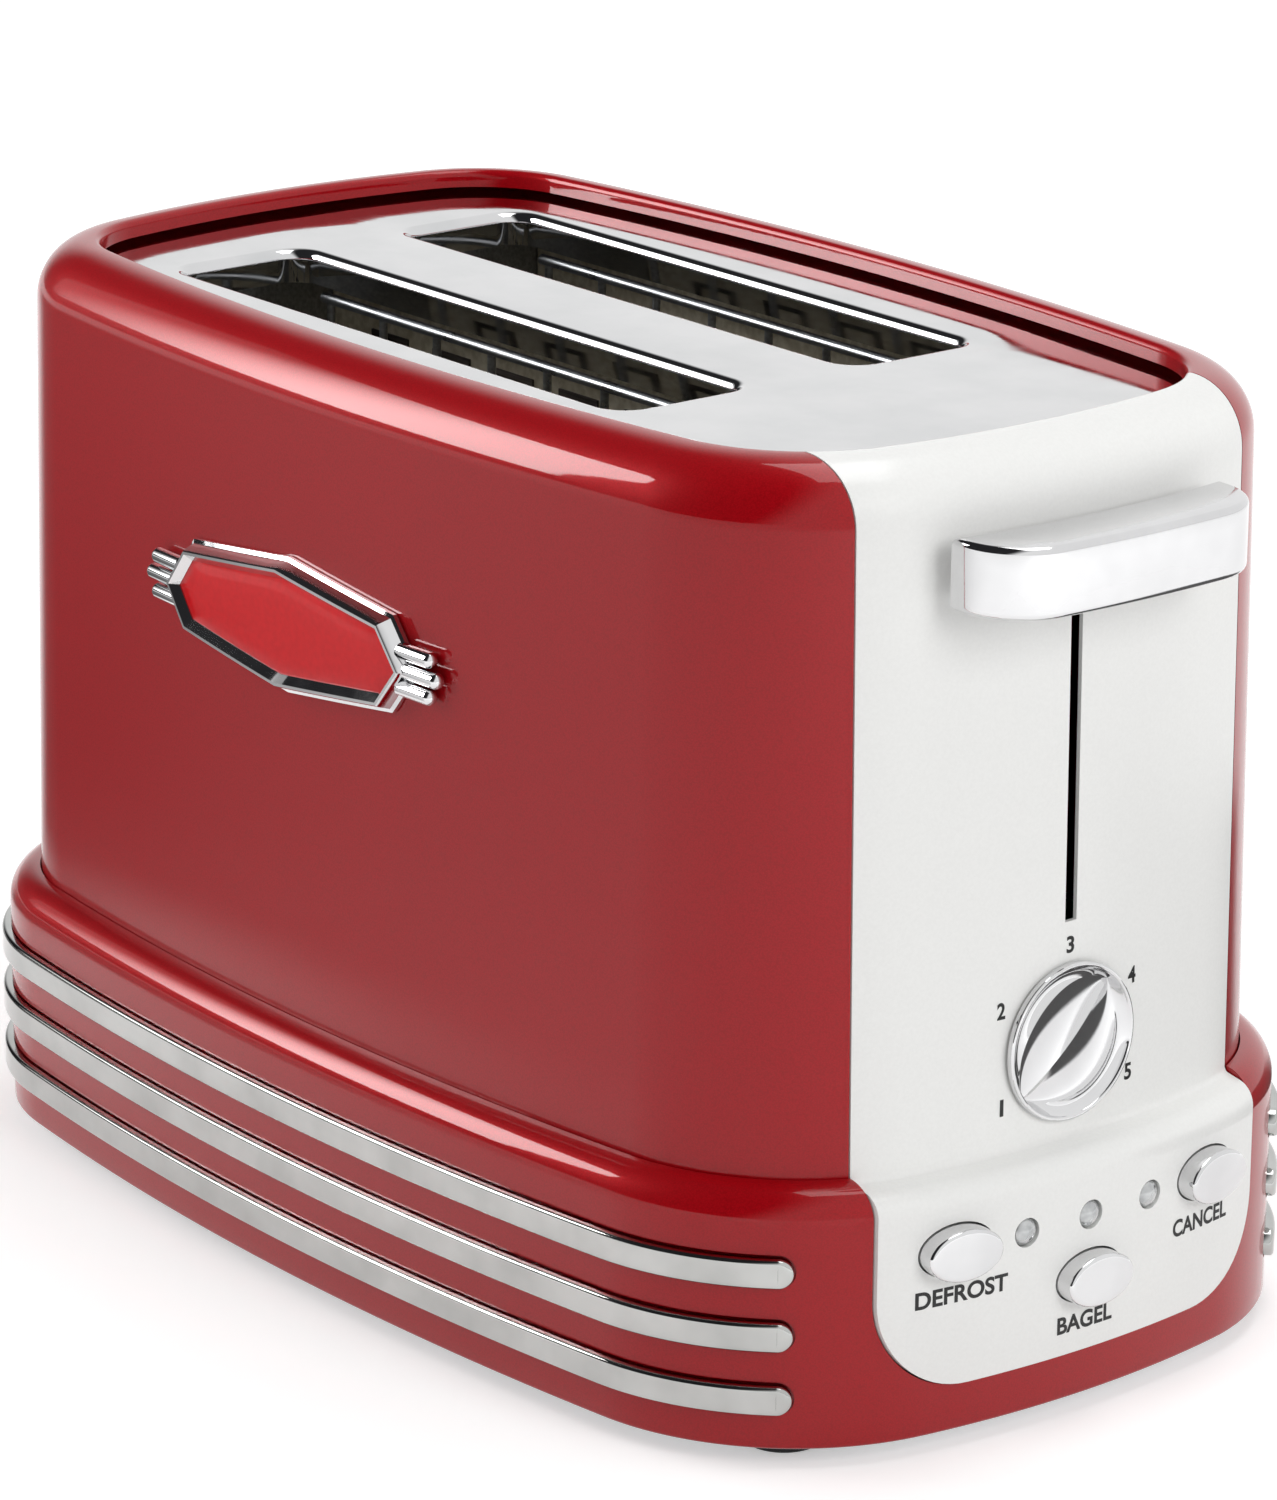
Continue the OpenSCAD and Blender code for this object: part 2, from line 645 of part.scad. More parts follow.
// Where the frame's end slope passes a height above or below its tip
function frame_end(h) = badge_l / 2 - (badge_l - badge_flat) * abs(h) / badge_end_h;
module badge_bars() {
  color("#D9DADC") at_badge() for (sx = [-1, 1], i = [-1, 0, 1]) {
    start = frame_end(max(0, bar_pitch * abs(i) - bar_d / 2)) + fit_gap;
    reach = badge_l / 2 + bar_l - bar_step * abs(i);
    translate([sx * start, bar_pitch * i, bar_d / 2]) rotate([0, sx * 90, 0])
      cylinder(d = bar_d, h = reach - start);
  }
}

// Base plate, feet and screws
flange_y = tray_w / 2 + flange_w;
base_holes = [for (s = [-1, 1]) each [
  [front_plate_x + sheet_t + flange_w / 2, s * flange_y],
  [rear_plate_x + flange_w / 2, s * flange_y],
  [bracket_x - flange_w / 2, s * (board_w - flange_w) / 2]]];
feet = [for (sx = [-1, 1], sy = [-1, 1]) [sx * (half_l - foot_inset), sy * foot_y]];
foot_head_d = (foot_d + foot_neck_d) / 2;
module base_plate() {
  color("#3A3A3C") placed() difference() {
    translate([0, 0, base_low]) linear_extrude(base_t) polygon(ring_points(skirt_out - skirt_t - seam));
    for (h = base_holes) drilled(h.x, h.y, 0, screw_d + 2 * fit_gap, body_h);
    for (f = feet) drilled(f.x, f.y, 0, foot_neck_d + 2 * fit_gap, body_h);
  }
}
module rubber_feet() {
  color("#1C1C1E") placed() for (f = feet) {
    drilled(f.x, f.y, 0, foot_d, base_low);
    drilled(f.x, f.y, 0, foot_neck_d, base_z + base_t);
    drilled(f.x, f.y, base_z, foot_head_d, base_t);
  }
}
module base_screws() {
  color("#8A8C90") placed() for (h = base_holes) {
    drilled(h.x, h.y, base_low - screw_head_h, screw_head_d, screw_head_h);
    drilled(h.x, h.y, base_low - screw_head_h, screw_d, screw_head_h + base_t + 2 * sheet_t);
  }
}

// Crumb tray, which slides out at the rear, and its grip
tray_low = base_z + slide_gap;
tray_front = front_plate_x - end_gap;
tray_rear = -end_x(tray_w / 2, skirt_out - skirt_t);
grip_in = skirt_out + slide_gap;
grip_half = tray_w / 2 + 2 * slide_gap;
module crumb_tray() {
  color("#B9BBBE") placed() {
    difference() {
      block([tray_rear, -tray_w / 2, tray_low], [tray_front, tray_w / 2, tray_low + tray_h]);
      block(
        [tray_rear + tray_t, -tray_w / 2 + tray_t, tray_low + tray_t],
        [tray_front - tray_t, tray_w / 2 - tray_t, body_h]);
    }
    difference() {
      block([-2 * half_l, -tray_w / 2, tray_low], [tray_rear, tray_w / 2, tray_low + tray_t]);
      translate([-end_c.x, 0, 0]) difference() {
        cylinder(r = 4 * half_l, h = body_h);
        translate([0, 0, -1]) cylinder(r = end_r + grip_in, h = body_h + 2, $fn = 360);
      }
    }
  }
}
module tray_grip() {
  turn = asin(grip_half / (end_r + grip_in));
  color("#A5121C") placed() translate([-end_c.x, 0, 0]) rotate([0, 0, 180 - turn])
    rotate_extrude(angle = 2 * turn, $fn = 360)
      translate([end_r + grip_in, base_low]) square([grip_t, notch_h - base_low]);
}

// Cord gland in the rear wall; the cord passes through its bore
gland_reach = gland_t + 2 * wall;
module at_gland() {
  translate([-end_x(0, wall_off(gland_z)), 0, gland_z]) rotate([0, -90, 0]) children();
}
module cord_gland() {
  color("#1C1C1E") placed() at_gland() rotate_extrude() difference() {
    union() {
      translate([0, seam]) square([gland_flange_d / 2, gland_t]);
      translate([0, -wall - seam]) square([gland_d / 2, wall + 2 * seam]);
      translate([0, -wall - seam - gland_t]) square([gland_flange_d / 2, gland_t]);
    }
    translate([-gland_flange_d, -gland_reach]) square([gland_flange_d + cord_d / 2, 2 * gland_reach]);
  }
}
module terminal_block() {
  back = rear_plate_x - sheet_t;
  color("#E6E4DC") placed() difference() {
    block([back - terminal_h, -terminal_l / 2, gland_z - terminal_h], [back, terminal_l / 2, gland_z]);
    for (i = [-1, 0, 1])
      drilled(back - terminal_h / 2, i * terminal_l / 3, gland_z - terminal_h / 2, screw_d, terminal_h);
  }
}

// Chassis end plates, with slots for the lifters and holes for the guides' hinge rods
guide_off = slot_w / 2 + guide_gap + guide_wire_d / 2;
guide_ys = [-slot_mid_y - guide_off, -slot_mid_y + guide_off, slot_mid_y - guide_off, slot_mid_y + guide_off];
lower_stop = lift_z - lever_travel;
module end_sheet(x) {
  difference() {
    union() {
      block([x, -end_w / 2, base_z], [x + sheet_t, end_w / 2, plate_low]);
      for (s = [-1, 1]) block(
        [x, s * flange_y - flange_w / 2, base_z],
        [x + sheet_t + flange_w, s * flange_y + flange_w / 2, base_z + sheet_t]);
    }
    for (y = guide_ys) along_x(x - sheet_t, y, hinge_z, hinge_d + 2 * pivot_gap, 3 * sheet_t);
    for (s = [-1, 1]) block(
      [x - sheet_t, s * slot_mid_y - spine_w / 2 - 2 * slide_gap, lower_stop - sheet_t - 2 * slide_gap],
      [x + 2 * sheet_t, s * slot_mid_y + spine_w / 2 + 2 * slide_gap, lift_z + 2 * slide_gap]);
    for (h = base_holes) drilled(h.x, h.y, 0, screw_d + 2 * fit_gap, 2 * base_z);
  }
}
module front_end_plate() { color("#B9BBBE") placed() end_sheet(front_plate_x); }
module rear_end_plate() {
  color("#B9BBBE") placed() difference() {
    end_sheet(rear_plate_x - sheet_t);
    block([-2 * half_l, -tray_w / 2 - slide_gap, 0], [2 * half_l, tray_w / 2 + slide_gap, notch_h]);
  }
}
// A sheet that runs between the end plates
module lengthwise(y, t, low, high) {
  block([rear_plate_x + seam, y - t / 2, low], [front_plate_x - seam, y + t / 2, high]);
}
module reflector(y) { color("#C6C8CA") placed() lengthwise(y, sheet_t, base_z, plate_low - seam); }
module near_reflector() { reflector(-reflector_y); }
module far_reflector() { reflector(reflector_y); }

// Heater boards and the ribbons that run up and down their faces
heater_top = plate_low - flange_h;
module heater_board(y) { color("#CFC6B0") placed() lengthwise(y, mica_t, heater_low, heater_top); }
module near_heater_board() { heater_board(-heater_y); }
module center_heater_board() { heater_board(0); }
module far_heater_board() { heater_board(heater_y); }
ribbon_low = hinge_z + ribbon_pitch;
ribbon_high = heater_top - ribbon_pitch;
ribbon_runs = floor(slot_l / ribbon_pitch);
module ribbon(y) {
  x0 = slot_mid_x - (ribbon_runs - 1) * ribbon_pitch / 2;
  for (i = [0 : ribbon_runs - 1]) {
    x = x0 + i * ribbon_pitch;
    block([x - ribbon_w / 2, y, ribbon_low], [x + ribbon_w / 2, y + ribbon_t, ribbon_high]);
    z = i % 2 == 0 ? ribbon_high - ribbon_w : ribbon_low;
    if (i < ribbon_runs - 1)
      block([x - ribbon_w / 2, y, z], [x + ribbon_pitch + ribbon_w / 2, y + ribbon_t, z + ribbon_w]);
  }
}
module near_heater_ribbon() { color("#6E6A66") placed() ribbon(-heater_y + mica_t / 2); }
module far_heater_ribbon() { color("#6E6A66") placed() ribbon(heater_y - mica_t / 2 - ribbon_t); }
module center_heater_ribbons() {
  color("#6E6A66") placed() {
    ribbon(mica_t / 2);
    ribbon(-mica_t / 2 - ribbon_t);
  }
}

// Bread guides: wire grilles that hinge on their lower rods
guide_top = heater_top - slide_gap - guide_rail_d;
guide_wires = floor(slot_l / guide_pitch);
wire_xs = [for (i = [0 : guide_wires - 1]) slot_mid_x + (i - (guide_wires - 1) / 2) * guide_pitch];
module guide(y) {
  color("#A9ABAE") placed() {
    along_x(rear_plate_x - sheet_t, y, hinge_z, hinge_d, front_plate_x - rear_plate_x + 2 * sheet_t);
    rail_l = (guide_wires - 1) * guide_pitch + 2 * guide_rail_d;
    along_x(slot_mid_x - rail_l / 2, y, guide_top, guide_rail_d, rail_l);
    for (x = wire_xs) drilled(x, y, hinge_z, guide_wire_d, guide_top - hinge_z);
  }
}
module near_outer_guide() { guide(guide_ys[0]); }
module near_inner_guide() { guide(guide_ys[1]); }
module far_inner_guide() { guide(guide_ys[2]); }
module far_outer_guide() { guide(guide_ys[3]); }

// Carriage: lifters, bracket, bush, latch plate, arm and handle
carriage_x = front_plate_x + sheet_t + carriage_gap;
carriage_front = carriage_x + sheet_t;
carriage_top = lift_z + carriage_rise;
carriage_low = carriage_top - carriage_h;
rod_x = carriage_front + rod_gap;
module lifter(y) {
  color("#A9ABAE") placed() {
    block(
      [rear_plate_x - 2 * sheet_t, y - spine_w / 2, lift_z - sheet_t],
      [carriage_x, y + spine_w / 2, lift_z]);
    for (x = wire_xs)
      block(
        [x - finger_l / 2, y - lifter_w / 2, lift_z - sheet_t],
        [x + finger_l / 2, y + lifter_w / 2, lift_z]);
  }
}
module near_lifter() { lifter(-slot_mid_y); }
module far_lifter() { lifter(slot_mid_y); }
module carriage_bracket() {
  color("#B9BBBE") placed() {
    block([carriage_x, -carriage_w / 2, carriage_low], [carriage_front, carriage_w / 2, carriage_top]);
    block([carriage_x, -arm_h, carriage_top], [carriage_front, arm_h, lever_z + arm_h / 2]);
    block(
      [carriage_x, -rod_y - bush_w / 2, carriage_top - sheet_t],
      [rod_x + bush_w / 2, -rod_y + bush_w / 2, carriage_top]);
  }
}
module slide_bush() {
  color("#E6E4DC") placed() difference() {
    block(
      [carriage_front, rod_y - bush_w / 2, carriage_low],
      [rod_x + bush_w / 2, rod_y + bush_w / 2, carriage_top]);
    drilled(rod_x, rod_y, 0, rod_d + 2 * slide_gap, body_h);
  }
}
module lever_arm() {
  color("#B9BBBE") placed() block(
    [carriage_front, -arm_t / 2, lever_z - arm_h / 2],
    [handle_back + arm_socket - fit_gap, arm_t / 2, lever_z + arm_h / 2]);
}
module latch_plate() {
  color("#9B9DA0") placed() block(
    [carriage_front, -rod_y - latch_w / 2, carriage_low],
    [carriage_front + latch_l, -rod_y + latch_w / 2, carriage_low + sheet_t]);
}
// Plan of the handle: bowed front, round corners, slanted ends and a back that follows the panel
handle_n = 6;
function bow(c, r, a, b) = [for (i = [0 : handle_n]) let (t = a + (b - a) * i / handle_n)
  c + r * [cos(t), sin(t)]];
module handle_plan() {
  front_c = [handle_front - handle_front_r, 0];
  front_deg = asin(handle_flat / 2 / handle_front_r);
  corner_c = front_c + (handle_front_r - handle_corner_r) * [cos(front_deg), sin(front_deg)];
  back_c = [half_l - end_r, 0];
  back_r = handle_back - back_c.x;
  start = corner_c + handle_corner_r * [cos(handle_slant), sin(handle_slant)] - back_c;
  way = [-sin(handle_slant), cos(handle_slant)];
  tip = start - (start * way + sqrt(pow(start * way, 2) - start * start + back_r * back_r)) * way;
  half = concat(
    bow(front_c, handle_front_r, 0, front_deg),
    bow(corner_c, handle_corner_r, front_deg, handle_slant),
    bow(back_c, back_r, asin(tip.y / back_r), 0));
  polygon(concat(half, [for (i = [len(half) - 2 : -1 : 1]) [half[i].x, -half[i].y]]));
}
module lever_handle() {
  color("#D9DADC") placed() difference() {
    translate([0, 0, lever_z - handle_h / 2]) linear_extrude(handle_h) handle_plan();
    block(
      [panel_x, -arm_t / 2 - fit_gap, lever_z - arm_h / 2 - fit_gap],
      [handle_back + arm_socket, arm_t / 2 + fit_gap, lever_z + arm_h / 2 + fit_gap]);
  }
}

// Guide rod, the bracket that holds its top, and the return spring
rod_bracket_low = lever_z + arm_h / 2 + 2 * sheet_t;
module guide_rod() {
  color("#C6C8CA") placed() drilled(rod_x, rod_y, base_z, rod_d, rod_bracket_low + sheet_t - base_z);
}
module rod_bracket() {
  half = rod_y + bush_w / 2;
  color("#B9BBBE") placed() difference() {
    block(
      [front_plate_x + sheet_t, -half, rod_bracket_low],
      [rod_x + bush_w / 2, half, rod_bracket_low + sheet_t]);
    drilled(rod_x, rod_y, 0, rod_d + 2 * fit_gap, body_h);
  }
}
coil_steps = 8;
wire_sides = 6;
spring_low = carriage_top + slide_gap + spring_wire / 2;
spring_high = rod_bracket_low - slide_gap - spring_wire / 2;
function coil_point(i) =
  let (k = i / (coil_steps * spring_turns), t = 360 * i / coil_steps)
  [spring_d / 2 * cos(t), spring_d / 2 * sin(t), spring_low + (spring_high - spring_low) * k];
function coil_ring(i) =
  let (t = 360 * i / coil_steps, r = spring_wire / 2)
  [for (j = [0 : wire_sides - 1]) let (a = 360 * j / wire_sides)
    coil_point(i) + r * [cos(t) * cos(a), sin(t) * cos(a), sin(a)]];
module return_spring() {
  color("#9B9DA0") placed() translate([rod_x, -rod_y, 0])
    loft([for (i = [0 : coil_steps * spring_turns]) coil_ring(i)], false);
}
echo(spring_turn_gap = norm(coil_point(coil_steps) - coil_point(0)) - spring_wire);

// Electromagnet that holds the carriage down
core_top = carriage_low - lever_travel - slide_gap;
coil_low = core_top - slide_gap - coil_h;
magnet_x = carriage_front + latch_l - coil_d / 2;
module magnet_bracket() {
  x0 = magnet_x - coil_d / 2;
  x1 = magnet_x + coil_d / 2 + 2 * sheet_t;
  y0 = -rod_y - latch_w / 2;
  y1 = -rod_y + latch_w / 2;
  color("#B9BBBE") placed() {
    block([x0, y0, base_z], [x1, y1, base_z + sheet_t]);
    block([x1 - sheet_t, y0, base_z], [x1, y1, coil_low]);
    block([x0, y0, coil_low - sheet_t], [x1, y1, coil_low]);
  }
}
module magnet_core() {
  color("#8A8C90") placed() drilled(magnet_x, -rod_y, coil_low, core_d, core_top - coil_low);
}
module magnet_coil() {
  color("#B4692E") placed() translate([magnet_x, -rod_y, coil_low]) rotate_extrude() difference() {
    translate([core_d / 2 + fit_gap, 0]) square([(coil_d - core_d) / 2 - fit_gap, coil_h]);
    translate([coil_d / 2 - sheet_t, sheet_t]) square([coil_d, coil_h - 2 * sheet_t]);
  }
}

// Control board on its bracket, with the potentiometer and the button switches
board_holes = [for (sy = [-1, 1], z = [board_low + board_inset, board_top - board_inset])
  [sy * (board_w / 2 - board_inset), z]];
module board_bracket() {
  color("#B9BBBE") placed() difference() {
    union() {
      block([bracket_x, -board_w / 2, base_z], [bracket_front, board_w / 2, board_top]);
      for (s = [-1, 1]) block(
        [bracket_x - flange_w, s * (board_w - flange_w) / 2 - flange_w / 2, base_z],
        [bracket_x, s * (board_w - flange_w) / 2 + flange_w / 2, base_z + sheet_t]);
      for (h = board_holes) along_x(bracket_front, h.x, h.y, screw_head_d, standoff_l);
    }
    for (h = board_holes) along_x(bracket_x - sheet_t, h.x, h.y, screw_d + 2 * fit_gap, board_x);
    for (h = base_holes) drilled(h.x, h.y, 0, screw_d + 2 * fit_gap, 2 * base_z);
  }
}
module control_board() {
  color("#1F5B3A") placed() difference() {
    block([board_back, -board_w / 2, board_low], [board_x, board_w / 2, board_top]);
    for (h = board_holes) along_x(bracket_x, h.x, h.y, screw_d + 2 * fit_gap, board_x);
  }
}
module board_screws() {
  color("#8A8C90") placed() for (h = board_holes) {
    along_x(bracket_front, h.x, h.y, screw_d, board_x - bracket_front + screw_head_h);
    along_x(board_x, h.x, h.y, screw_head_d, screw_head_h);
  }
}
pot_front = board_x + pot_d + pot_bush_l;
module potentiometer() {
  color("#2B2B2E") placed() difference() {
    union() {
      block([board_x, -pot_w / 2, knob_z - pot_w / 2], [board_x + pot_d, pot_w / 2, knob_z + pot_w / 2]);
      along_x(board_x, 0, knob_z, hub_d - sheet_t, pot_d + pot_bush_l);
    }
    along_x(board_x + sheet_t, 0, knob_z, shaft_d + 2 * pivot_gap, pot_d + 2 * half_l);
  }
}
module at_knob() { on_panel(0, knob_z, wall_off(knob_z)) children(); }
knob_x = end_x(0, wall_off(knob_z));
ridge_z = knob_out - seam;
bore_end = ridge_z - bore_cover;
module potentiometer_shaft() {
  color("#C6C8CA") placed()
    along_x(board_x + 2 * sheet_t, 0, knob_z, shaft_d, knob_x + bore_end - slide_gap - board_x - 2 * sheet_t);
}
switch_front = board_x + switch_d;
function stem_l(b) =
  (end_x(b.x, tongue_off) - switch_front - button_travel - slide_gap) / cos(panel_deg(b.x, tongue_off));
module button_switches() {
  color("#2B2B2E") placed() for (b = buttons) {
    y = b.x - stem_l(b) * sin(panel_deg(b.x, tongue_off));
    block(
      [board_x, y - switch_w / 2, b.y - switch_w / 2],
      [switch_front, y + switch_w / 2, b.y + switch_w / 2]);
  }
}

// Browning knob: a flanged bowl that turns in the panel, with a grip whose ridge points at the setting
bowl_r = (bowl_w * bowl_w / 4 + bowl_d * bowl_d) / (2 * bowl_d);
bowl_z = knob_out - bowl_d + bowl_r;
grip_rise = ridge_z - bowl_z + sqrt(bowl_r * bowl_r - grip_w * grip_w / 4);
flank_n = 6;
module grip_shape() {
  polygon(concat(
    [for (i = [-flank_n : flank_n]) let (t = abs(i) / flank_n)
      [grip_w / 2 * i / flank_n, ridge_z - grip_rise * (1 - pow(1 - t, 2))]],
    [[grip_w / 2, -knob_depth + seam], [-grip_w / 2, -knob_depth + seam]]));
}
module browning_knob() {
  color("#D9DADC") placed() at_knob() rotate([0, 0, 180 - knob_angle]) difference() {
    union() {
      difference() {
        union() {
          translate([0, 0, seam]) cylinder(d1 = knob_d, d2 = (knob_d + bowl_w) / 2, h = knob_out - seam);
          translate([0, 0, -knob_depth]) cylinder(d = knob_body_d, h = knob_depth + seam);
        }
        translate([0, 0, bowl_z]) sphere(bowl_r, $fn = 180);
      }
      intersection() {
        translate([-knob_body_d / 2, 0, 0]) rotate([90, 0, 90]) linear_extrude(knob_body_d) grip_shape();
        translate([0, 0, -knob_depth]) cylinder(d = knob_body_d, h = knob_depth + knob_out);
      }
      translate([0, 0, -hub_l]) cylinder(d = hub_d, h = hub_l - knob_depth + seam);
    }
    translate([0, 0, -hub_l - seam]) cylinder(d = shaft_d + fit_gap, h = hub_l + seam + bore_end);
  }
}

// Buttons: oval caps with a collar behind the panel and a stem to the switch
button_y = panel_half - button_inset;
buttons = [[-button_y, button_z], [0, low_button_z], [button_y, button_z]];
oval_n = 40;
module oval(grow) {
  polygon([for (i = [0 : oval_n - 1]) let (t = 360 * i / oval_n)
    [(button_h / 2 + grow) * cos(t), (button_w / 2 + grow) * sin(t)]]);
}
collar_gap = panel_t + collar_play;
module button(i) {
  b = buttons[i];
  color("#D9DADC") placed() on_panel(b.x, b.y, tongue_off) {
    translate([0, 0, -collar_gap]) linear_extrude(collar_gap + button_out - fit_gap) oval(0);
    translate([0, 0, button_out - fit_gap]) linear_extrude(fit_gap) oval(-fit_gap);
    translate([0, 0, -collar_gap - collar_t]) linear_extrude(collar_t) oval(collar_t);
    translate([0, 0, -stem_l(b)]) cylinder(d = stem_d, h = stem_l(b) - collar_gap);
  }
}
module defrost_button() { button(0); }
module bagel_button() { button(1); }
module cancel_button() { button(2); }

// Indicator lenses: light pipes from the board to the panel's face
lens_ys = [-lens_pitch, 0, lens_pitch];
module indicator_lenses() {
  color("#C9CBCC") placed() for (y = lens_ys) on_panel(y, lens_z, tongue_off) {
    turn = panel_deg(abs(y), tongue_off);
    back = (end_x(y, tongue_off) - board_x - slide_gap) / cos(turn) - lens_d / 2 * tan(turn);
    translate([0, 0, -back]) cylinder(d = lens_d, h = back);
    cylinder(d1 = lens_d, d2 = lens_d - 2 * lens_out, h = lens_out);
  }
}

upper_housing();
base_skirt();
control_panel();
top_plate();
upper_band();
middle_band();
lower_band();
badge_frame();
badge_enamel();
badge_bars();
base_plate();
rubber_feet();
base_screws();
crumb_tray();
tray_grip();
cord_gland();
terminal_block();
front_end_plate();
rear_end_plate();
near_reflector();
far_reflector();
near_heater_board();
center_heater_board();
far_heater_board();
near_heater_ribbon();
center_heater_ribbons();
far_heater_ribbon();
near_outer_guide();
near_inner_guide();
far_inner_guide();
far_outer_guide();
near_lifter();
far_lifter();
carriage_bracket();
slide_bush();
lever_arm();
latch_plate();
lever_handle();
guide_rod();
rod_bracket();
return_spring();
magnet_bracket();
magnet_core();
magnet_coil();
board_bracket();
control_board();
potentiometer();
potentiometer_shaft();
button_switches();
browning_knob();
defrost_button();
bagel_button();
cancel_button();
indicator_lenses();
board_screws();
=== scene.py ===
import json
import math

import bmesh
import bpy
import numpy as np
from mathutils import Matrix, Vector
from mathutils.bvhtree import BVHTree
from mathutils.geometry import delaunay_2d_cdt


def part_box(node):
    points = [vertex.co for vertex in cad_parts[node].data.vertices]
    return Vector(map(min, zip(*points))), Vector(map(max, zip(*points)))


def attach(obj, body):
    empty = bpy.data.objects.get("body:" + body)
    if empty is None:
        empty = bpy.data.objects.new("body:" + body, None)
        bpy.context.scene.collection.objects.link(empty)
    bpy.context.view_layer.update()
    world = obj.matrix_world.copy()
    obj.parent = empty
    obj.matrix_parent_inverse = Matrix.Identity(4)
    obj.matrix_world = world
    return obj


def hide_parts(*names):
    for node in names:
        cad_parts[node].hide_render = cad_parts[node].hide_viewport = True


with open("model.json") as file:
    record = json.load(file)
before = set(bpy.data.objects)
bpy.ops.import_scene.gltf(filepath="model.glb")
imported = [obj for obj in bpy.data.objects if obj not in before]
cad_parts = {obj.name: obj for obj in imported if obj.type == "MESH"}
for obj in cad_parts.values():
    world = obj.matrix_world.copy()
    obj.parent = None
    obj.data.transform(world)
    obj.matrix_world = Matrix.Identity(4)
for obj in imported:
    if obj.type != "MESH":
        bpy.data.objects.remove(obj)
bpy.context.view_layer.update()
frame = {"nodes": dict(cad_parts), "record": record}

# Sizes are in millimetres, in the part's own frame before it is centred on its box
MM = 0.001

# Body
body_l, body_w, body_h = 280.0, 164.0, 198.6
front_corner_r, rear_corner_r = 46.0, 40.0
end_r, side_r = 224.0, 770.0
draft = math.tan(math.radians(0.7))
wall, rim_r, rim_edge_r, rim_lip, seam = 2.0, 12.5, 1.5, 3.8, 0.3

# Skirt, bands and control panel
foot_gap, skirt_out, skirt_h, shoulder_h, skirt_t, housing_tuck = 4.0, 7.0, 46.5, 7.0, 2.2, 12.0
band_h, band_out, band_pitch, band_low, band_end = 6.0, 1.8, 13.2, 7.7, 39.0
band_bevel, tip_bevel, recess_depth, recess_gap = 0.8, 2.4, 0.9, 0.45
panel_w, panel_t, tongue_gap, tongue_r, tongue_out = 100.0, 2.2, 10.0, 20.0, 0.8
slot_edge, slot_relief = 1.0, 2.0
tongue_shoulder_r, hollow_r, ledge_deg = 4.5, 1.2, 80.0

# Top plate and slots
slot_l, slot_w, slot_gap, slot_front, slot_r = 152.0, 33.0, 27.0, 56.0, 6.0
plate_drop, plate_t, plate_under, flange_h, slot_roll = 5.2, 1.2, 5.0, 6.0, 2.2

# Lever
lever_z, lever_low = 177.5, 107.5
handle_flat, handle_h, handle_d, handle_gap = 42.0, 14.3, 15.3, 4.7
handle_front_r, handle_corner_r, handle_slant, handle_edge_r = 300.0, 14.5, 88.0, 1.36
arm_t, arm_h, arm_gap, slot_run, slide_gap = 2.0, 6.4, 0.5, 3.3, 0.3

# Knob, buttons and lenses
knob_z, knob_d, knob_out, knob_body_d, knob_depth = 76.4, 32.6, 1.2, 30.0, 5.2
bowl_d, bowl_w, grip_w, grip_l, knob_angle, ridge_r, grip_slope = 3.6, 30.6, 22.0, 29.8, 47.0, 55.0, 0.33
button_w, button_h, button_out, button_bevel = 17.0, 10.7, 4.2, 0.9
collar_in, collar_t, stem_d, stem_lap, stem_gap = 3.4, 1.5, 5.0, 0.2, 0.4
buttons = {"defrost": (-33.2, 42.4), "bagel": (0.0, 29.6), "cancel": (33.2, 42.4)}
lens_d, lens_out, lens_pitch, lens_z = 5.6, 0.7, 16.4, 42.3
lens_sink, lens_gap, lens_back = 0.7, 0.25, 11.0

# Printing
number_r, number_h, word_h, ink_spread, ink_lift = 19.8, 3.5, 3.7, 0.028, 0.05

# Badge
badge_l, badge_h, badge_flat, badge_end_h = 81.0, 25.0, 67.5, 17.0
badge_t, badge_border, badge_flare, badge_x, badge_z = 4.4, 2.4, 1.7, -6.0, 141.5
bar_l, bar_step, bar_d, bar_pitch = 10.0, 2.0, 3.4, 3.8

# Feet and gland
foot_d, foot_inset, foot_y, base_low = 17.0, 20.0, 55.0, 4.5
foot_rim, foot_dish, foot_edge, foot_taper = 3.0, 0.4, 1.2, 0.5
cord_d, gland_d, gland_flange_d, gland_t, gland_z, gland_lip = 7.2, 12.0, 18.0, 3.0, 70.0, 1.0

# Heights and outlines that follow from the sizes above
half_l, half_w, panel_half = body_l / 2, body_w / 2, panel_w / 2
straight_z = foot_gap + skirt_h
crease_z = straight_z + shoulder_h
rim_z = body_h - rim_r
plate_z = body_h - plate_drop
tongue_z = foot_gap + tongue_gap
tongue_off = skirt_out + tongue_out
shoulder_r = (skirt_out ** 2 + shoulder_h ** 2) / (2 * skirt_out)


def wall_off(z):
    """Lean of the upper wall as an offset from the plan outline."""
    return -(z - crease_z) * draft


rim_off = wall_off(rim_z) - rim_r
handle_back = half_l + wall_off(lever_z) + handle_gap
shift_x = (half_l + skirt_out + seam / 2 + band_out - handle_back - handle_d) / 2

# Centres of the plan outline's arcs
end_c = np.array([half_l - end_r, 0.0])
side_c = np.array([0.0, half_w - side_r])


def corner_centre(r):
    """Centre of a corner arc that is tangent to an end and a side."""
    p, q = end_r - r, side_r - r
    d = np.linalg.norm(side_c - end_c)
    u = (side_c - end_c) / d
    k = (d * d + p * p - q * q) / (2 * d)
    return end_c + k * u + math.sqrt(p * p - k * k) * np.array([-u[1], u[0]])


def bearing(a, b):
    return math.degrees(math.atan2(b[1] - a[1], b[0] - a[0]))


front_c, rear_c = corner_centre(front_corner_r), corner_centre(rear_corner_r)
front_end_deg, front_side_deg = bearing(end_c, front_c), bearing(side_c, front_c)
rear_end_deg, rear_side_deg = bearing(end_c, rear_c), bearing(side_c, rear_c)
housing_edge = panel_half + seam


